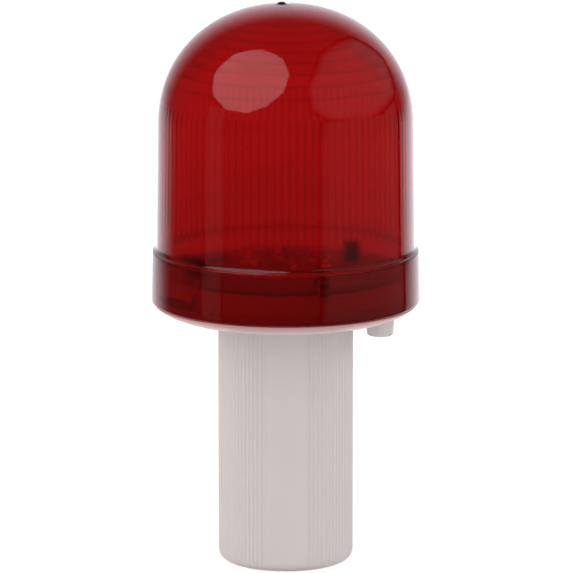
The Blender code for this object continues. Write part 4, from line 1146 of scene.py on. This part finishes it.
def makeChip():
    form = chipForm
    width, depth, height = sizeOf("driver_chip")
    parts = [block("body", (width - form["legRoom"], depth - form["clear"], height - form["lift"]),
                   (0, 0, (height + form["lift"]) / 2), 0.0, form["edge"])]
    legs = (("leg", 0.75, form["sheet"], 1.1, height * 0.5),        # length, height, inset and middle
            ("legDrop", form["sheet"], height * 0.5 + 0.05, 0.75, height * 0.27),
            ("legFoot", 0.7, form["sheet"], 0.4, 0.1))
    for side in (1, -1):
        for number in range(form["legs"]):
            y = (number - (form["legs"] - 1) / 2) * form["pitch"]
            parts += [block(name, (length, form["legWidth"], tall), (side * (width / 2 - inset), y, middle), 0.0,
                            form["legEdge"]) for name, length, tall, inset, middle in legs]
    chip = merged("driverChip", parts)
    faceMark(chip, "bareMetal", lambda spot: abs(spot.x) > width / 2 - form["bareFrom"])
    moved(chip, *middleOf("driver_chip"), mountedZ)
    coat(chip, partMetalFinish("chipEpoxy", (0.022, 0.022, 0.024), (0.70, 0.70, 0.70), roughness=0.45))
    settle(chip, "base", "black_plastic", "driver_chip")


resistorForm = {"end": 0.5, "endEdge": 0.08, "bareFrom": 0.52, "coreLess": 0.9, "coreThin": 0.06, "coreEdge": 0.05}


def makeResistors():
    form = resistorForm
    finish = partMetalFinish("resistorGlaze", (0.03, 0.03, 0.034), (0.72, 0.72, 0.72), roughness=0.3)
    for number in (1, 2):
        node = f"resistor_{number}"
        width, depth, height = sizeOf(node)
        core = (width - form["coreLess"], depth - form["coreThin"], height - form["coreThin"])
        parts = [block("core", core, (0, 0, height / 2), 0.0, form["coreEdge"])]
        parts += [block("end", (form["end"], depth, height), (side * (width / 2 - form["end"] / 2), 0, height / 2),
                        0.0, form["endEdge"]) for side in (1, -1)]
        chip = merged(f"chipResistor{number}", parts)
        faceMark(chip, "bareMetal", lambda spot: abs(spot.x) > width / 2 - form["bareFrom"])
        moved(chip, *middleOf(node), mountedZ)
        settle(coat(chip, finish), "base", "black_plastic", node)


makeCapacitor()
makeSensor()
makeChip()
makeResistors()
print("board parts made")


# Leads, contact springs and seals

wireForm = {
    "lead": 0.65, "leadSides": 16, "leadSteps": 28, "sunk": 0.3, "stub": 2.0, "boardSpot": (4.0, 12.0),
    "contactWire": 0.3, "contactFoot": 2.9, "contactTip": 2.0, "contactTurns": 4.0,
    "leads": (("positive", 1, (0.42, 0.02, 0.018), "red_insulation"),
              ("negative", -1, (0.02, 0.02, 0.022), "black_insulation")),
}


def leadPath(side):
    form = wireForm
    offset = dishForm["cellOffset"]
    start = Vector((offset, side * offset, dishForm["partition"] + form["sunk"]))
    end = Vector((form["boardSpot"][0], side * form["boardSpot"][1], boardLow.z / mm - form["sunk"]))
    low = start + Vector((0, 0, form["stub"]))
    rise = Vector((0, 0, (end.z - low.z) / 2))
    path = [start]
    for step in range(form["leadSteps"] + 1):
        share = step / form["leadSteps"]
        rest = 1 - share
        path.append(rest ** 3 * low + 3 * rest ** 2 * share * (low + rise)
                    + 3 * rest * share ** 2 * (end - rise) + share ** 3 * end)
    return path


def makeWires():
    form = wireForm
    wire, offset = form["contactWire"], dishForm["cellOffset"]
    for name, side, colour, slot in form["leads"]:
        insulation = mouldedFinish(name + "Insulation", colour, roughness=0.45, spread=0.15)
        lead = wired(name + "Lead", leadPath(side), form["lead"], insulation, form["leadSides"])
        settle(lead, "base", slot, name + "_lead")
        low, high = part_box(name + "_contact")
        path = coilPath(form["contactTip"], form["contactFoot"], low.z / mm, high.z / mm,
                        form["contactTurns"], wire, offset, side * offset)
        settle(wired(name + "Contact", path, wire, springFinish), "base", "spring_steel", name + "_contact")


def makeSeals():
    finish = mouldedFinish("sealSilicone", (0.62, 0.60, 0.58), roughness=0.62, spread=0.12, skin=1.5e-5,
                           specks=0.2)
    for node in ("lens_seal", "tube_seal"):
        low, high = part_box(node)
        section = (high.z - low.z) / 2 / mm
        ring, middle = high.x / mm - section, (high.z + low.z) / 2 / mm
        around = [ringSpot(section, fullTurn * step / 16) for step in range(16)]
        outline = [(ring + x, middle + z) for x, z in around]
        seal = turned(node.split("_")[0] + "SealRing", outline, 160, closed=True)
        settle(coat(seal, finish), "base", "seal_silicone", node)


makeWires()
makeSeals()


# Battery pack

cellForm = {
    "radius": 7.1, "length": 49.2, "nub": 2.7, "nubHeight": 1.3, "corners": ((1, 1), (-1, 1), (-1, -1), (1, -1)),
    "foot": ((0.0, 0.25), (5.2, 0.25), (5.4, 0.0, 0.1), (6.2, 0.0, 0.15)), "lip": (6.0, 5.6), "lipDrop": 0.3,
    "bareRadius": 6.1, "bareEnds": (1, 48), "band": (38.5, 39.6), "bandRadius": 7,
    "springWire": 0.3, "springFoot": 3.4, "springTip": 2.0, "springTurns": 4.0,
    "jacket": (0.045, 0.08, 0.15), "metal": (0.74, 0.73, 0.70),
}


def isBareEnd(spot):
    low, high = cellForm["bareEnds"]
    return math.hypot(spot.x, spot.y) < cellForm["bareRadius"] and (spot.z < low or spot.z > high)


def isBand(spot):
    low, high = cellForm["band"]
    return low < spot.z < high and math.hypot(spot.x, spot.y) > cellForm["bandRadius"]


def makeCells():
    form = cellForm
    radius, length, nub = form["radius"], form["length"], form["nub"]
    full, lip = length + form["nubHeight"], length - form["lipDrop"]
    finish = partMetalFinish("cellJacket", form["jacket"], form["metal"], roughness=0.34)
    outline = filleted([*form["foot"], (radius, 0.0, 0.5), (radius, length, 0.5), (form["lip"][0], length, 0.2),
                        (form["lip"][1], lip, 0.2), (nub + 0.3, lip, 0.2), (nub, full, 0.5), (0.0, full)], 4)
    for number, (x, y) in enumerate(form["corners"], 1):
        spot = (x * dishForm["cellOffset"], y * dishForm["cellOffset"])
        upright = number % 2 == 1
        low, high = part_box(f"battery_{number}")
        cell = turned(f"cell{number}", outline, 72)
        faceMark(cell, "bareMetal", isBareEnd)
        faceMark(cell, "paleBand", isBand)
        moved(cell, *spot, (low.z if upright else high.z) / mm, flip=not upright)
        settle(coat(cell, finish), "battery_pack", "cell_jacket", f"battery_{number}")
        low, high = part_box(f"cell_spring_{number}")
        ends = (form["springFoot"], form["springTip"]) if upright else (form["springTip"], form["springFoot"])
        path = coilPath(*ends, low.z / mm, high.z / mm, form["springTurns"], form["springWire"], *spot)
        spring = wired(f"cellSpring{number}", path, form["springWire"], springFinish)
        settle(spring, "battery_pack", "spring_steel", f"cell_spring_{number}")


terminalForm = {"plate": 5.2, "sheet": 0.4, "stud": 3.0}


def makeTerminals():
    plate, sheet, stud = terminalForm["plate"], terminalForm["sheet"], terminalForm["stud"]
    for name, side in (("positive", 1), ("negative", -1)):
        node = name + "_terminal"
        low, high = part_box(node)
        height = (high.z - low.z) / mm
        outline = filleted([(0.0, 0.0), (plate, 0.0, 0.1), (plate, sheet, 0.1), (stud, sheet, 0.2),
                            (stud, height, 0.25), (0.0, height)], 3)
        terminal = moved(turned(name + "Stud", outline, 64), dishForm["cellOffset"], side * dishForm["cellOffset"],
                         low.z / mm)
        settle(coat(terminal, nickelFinish), "battery_pack", "contact_plate", node)


makeCells()
makeTerminals()
for finish, nodes in ((blackFinish, ("battery_carrier", "mode_switch", "switch_plunger")),
                      (nickelFinish, ("bottom_bridge_1", "bottom_bridge_2", "top_bridge"))):
    for node in nodes:
        coat(frame["nodes"][node], finish)
print("battery pack made")


# Floor, studio panels, world and camera

studio = {
    "worldLevel": 0.43, "sideLevel": 1.5, "sideSpan": (0.5, 0.95), "frontGloss": 0.06, "leftGloss": 1.12,
    "rightGloss": 1.45, "glossSpan": (-0.6, 0.6), "tint": (1.0, 0.965, 1.03),
    "lowSpan": (0.44, 0.90), "topSpan": (0.60, 1.03), "topShare": 0.80, "horizon": (0.02, -0.14),
    "worldThrough": 0.355, "insideShare": 0.55, "middle": (0.0, 0.0, 0.12),
    "floorRadius": 8.0, "floorShow": 0.87, "floorColour": (0.80, 0.80, 0.80, 1.0),
    "floorShade": (0.30, 0.30, 0.30, 1.0), "floorDepth": (0.6, 0.8), "floorAside": (0.05, 0.60),
    "floorNear": (0.335, 0.65), "floorFar": (0.41, 0.24),       # through the lens, in the middle and aside
}
panels = {      # azimuth is from the camera's side; half is half the width and height
    "keyPanel": {"azimuth": -46.5, "elevation": 47.3, "distance": 1.0, "half": (0.665, 0.645), "sides": 10,
                 "gloss": 1.54, "level": 1.20, "edge": 0.06},
    "fillPanel": {"azimuth": 82, "elevation": 35, "distance": 1.1, "half": (1.60, 0.72), "sides": 8,
                  "gloss": 0.30, "level": 1.30, "edge": 0.30},
    "bandPanel": {"azimuth": 76, "elevation": -12, "distance": 1.2, "half": (1.30, 0.55), "sides": 4,
                  "gloss": 0.17, "level": 0.65, "edge": 0.30},
    "stripPanel": {"azimuth": -66, "elevation": -6, "distance": 1.2, "half": (0.24, 0.62), "sides": 4,
                   "gloss": 0.17, "level": 0.85, "edge": 0.35},
}


def stageFinish(name):
    material = bpy.data.materials.new(name)
    material.use_nodes = True
    tree = material.node_tree
    tree.nodes.clear()
    return material, tree, tree.nodes.new("ShaderNodeOutputMaterial")


def lightPath(tree):
    return tree.nodes.new("ShaderNodeLightPath").outputs


def emission(strength):
    return addNode(treeOf(strength), "ShaderNodeEmission", {"Strength": strength}).outputs[0]


def lessInside(path):       # how much of the light behind the lens reaches the pieces in it
    return timesPlus(calc("MINIMUM", path["Diffuse Depth"], 1.0), studio["insideShare"] - 1.0, 1.0)


def makeFloor():
    mesh = bpy.data.meshes.new("studioFloor")
    body = bmesh.new()
    bmesh.ops.create_circle(body, cap_ends=True, segments=96, radius=studio["floorRadius"])
    body.to_mesh(mesh)
    body.free()
    floor = linked("studioFloor", mesh)
    material, tree, out = stageFinish("paleFloor")
    path = lightPath(tree)
    plain = addNode(tree, "ShaderNodeBsdfDiffuse", {"Color": studio["floorColour"]}).outputs[0]
    dim = addNode(tree, "ShaderNodeBsdfDiffuse", {"Color": studio["floorShade"]}).outputs[0]
    glow = addNode(tree, "ShaderNodeEmission", {"Strength": studio["floorShow"]}).outputs[0]
    shown = addNode(tree, "ShaderNodeAddShader", {0: dim, 1: glow}).outputs[0]
    spot = split(tree.nodes.new("ShaderNodeNewGeometry").outputs["Position"])
    levels = [ramp(spot[1], *studio["floorDepth"], near, far)
              for near, far in zip(studio["floorNear"], studio["floorFar"])]
    level = ramp(calc("ABSOLUTE", spot[0]), *studio["floorAside"], *levels)
    through = emission(times(level, lessInside(path)))
    mixed = addNode(tree, "ShaderNodeMixShader", {0: path["Is Transmission Ray"], 1: plain, 2: through}).outputs[0]
    mixed = addNode(tree, "ShaderNodeMixShader", {0: path["Is Camera Ray"], 1: mixed, 2: shown}).outputs[0]
    feed(out, {"Surface": mixed})
    mesh.materials.append(material)
    floor.visible_glossy = False


def makePanel(name, azimuth, elevation, distance, half, sides, gloss, level, edge):
    azimuth, elevation = math.radians(azimuth), math.radians(elevation)
    away = Vector((math.sin(azimuth) * math.cos(elevation), -math.cos(azimuth) * math.cos(elevation),
                   math.sin(elevation)))
    facing = (-away).to_track_quat("Z", "Y").to_matrix().to_4x4()
    place = Matrix.Translation(Vector(studio["middle"]) + away * distance) @ facing
    start, reach = (math.pi / 4, math.sqrt(2)) if sides == 4 else (0.0, 1.0)
    points = [place @ Vector((0, 0, 0))]
    for step in range(sides):
        across, up = ringSpot(reach, start + fullTurn * step / sides)
        points.append(place @ Vector((half[0] * across, half[1] * up, 0)))
    mesh = bpy.data.meshes.new(name)
    mesh.from_pydata(points, [], [(0, k, k % sides + 1) for k in range(1, sides + 1)])
    mesh.attributes.new("inset", "FLOAT", "POINT").data.foreach_set("value", [1.0] + [0.0] * sides)
    light = linked(name, mesh)
    material, tree, out = stageFinish(name)
    path = lightPath(tree)
    soft = ramp(attribute(tree, "inset"), 0.0, edge)
    mirrored = calc("MAXIMUM", path["Is Glossy Ray"], path["Is Transmission Ray"])
    strength = timesPlus(mirrored, timesPlus(lessInside(path), gloss, -level), level)
    facingUs = minus(1.0, tree.nodes.new("ShaderNodeNewGeometry").outputs["Backfacing"])
    feed(out, {"Surface": emission(times(times(strength, soft), facingUs))})
    mesh.materials.append(material)
    light.visible_camera = False
    light.visible_shadow = False


def makeWorld():
    world = bpy.data.worlds.new("studio")
    bpy.context.scene.world = world
    world.use_nodes = True
    tree = world.node_tree
    x, y, z = split(addNode(tree, "ShaderNodeTexCoord").outputs["Generated"])
    low = ramp(y, *studio["lowSpan"])
    high = times(ramp(y, *studio["topSpan"]), studio["topShare"])
    share = ramp(z, *studio["horizon"])
    behind = plus(times(low, share), times(high, minus(1.0, share)))
    side = ramp(x, *studio["glossSpan"], studio["leftGloss"], studio["rightGloss"])
    gloss = timesPlus(behind, side, studio["frontGloss"])
    sides = ramp(calc("ABSOLUTE", x), *studio["sideSpan"], studio["worldLevel"],
                 studio["worldLevel"] + studio["sideLevel"])
    path = lightPath(tree)
    bent, seen = path["Is Transmission Ray"], path["Is Camera Ray"]
    mirrored = times(path["Is Glossy Ray"], minus(1.0, bent))       # bent rays count as glossy too
    plain = minus(1.0, calc("MAXIMUM", mirrored, bent))
    level = timesPlus(mirrored, gloss, times(plain, sides))
    level = timesPlus(bent, times(lessInside(path), studio["worldThrough"]), level)
    feed(tree.nodes["Background"], {"Color": blendColour(mirrored, (1.0, 1.0, 1.0), studio["tint"]),
                                    "Strength": plus(times(level, minus(1.0, seen)), seen)})


def makeCamera():
    view = {"place": (0.0, -1.600, 0.3953), "aim": (0.00024, 0.0, 0.0835), "lens": 341.9, "sensor": 36.0,
            "far": 50.0}
    data = bpy.data.cameras.new("photoCamera")
    data.lens = view["lens"]
    data.sensor_width = view["sensor"]
    data.clip_end = view["far"]
    camera = linked("photoCamera", data)
    camera.location = view["place"]
    camera.rotation_euler = (Vector(view["aim"]) - Vector(view["place"])).to_track_quat("-Z", "Y").to_euler()
    bpy.context.scene.camera = camera


makeFloor()
for name, settings in panels.items():
    makePanel(name, **settings)
makeWorld()
makeCamera()
bpy.context.scene.view_settings.view_transform = "Standard"
print("studio made")

bpy.context.view_layer.update()
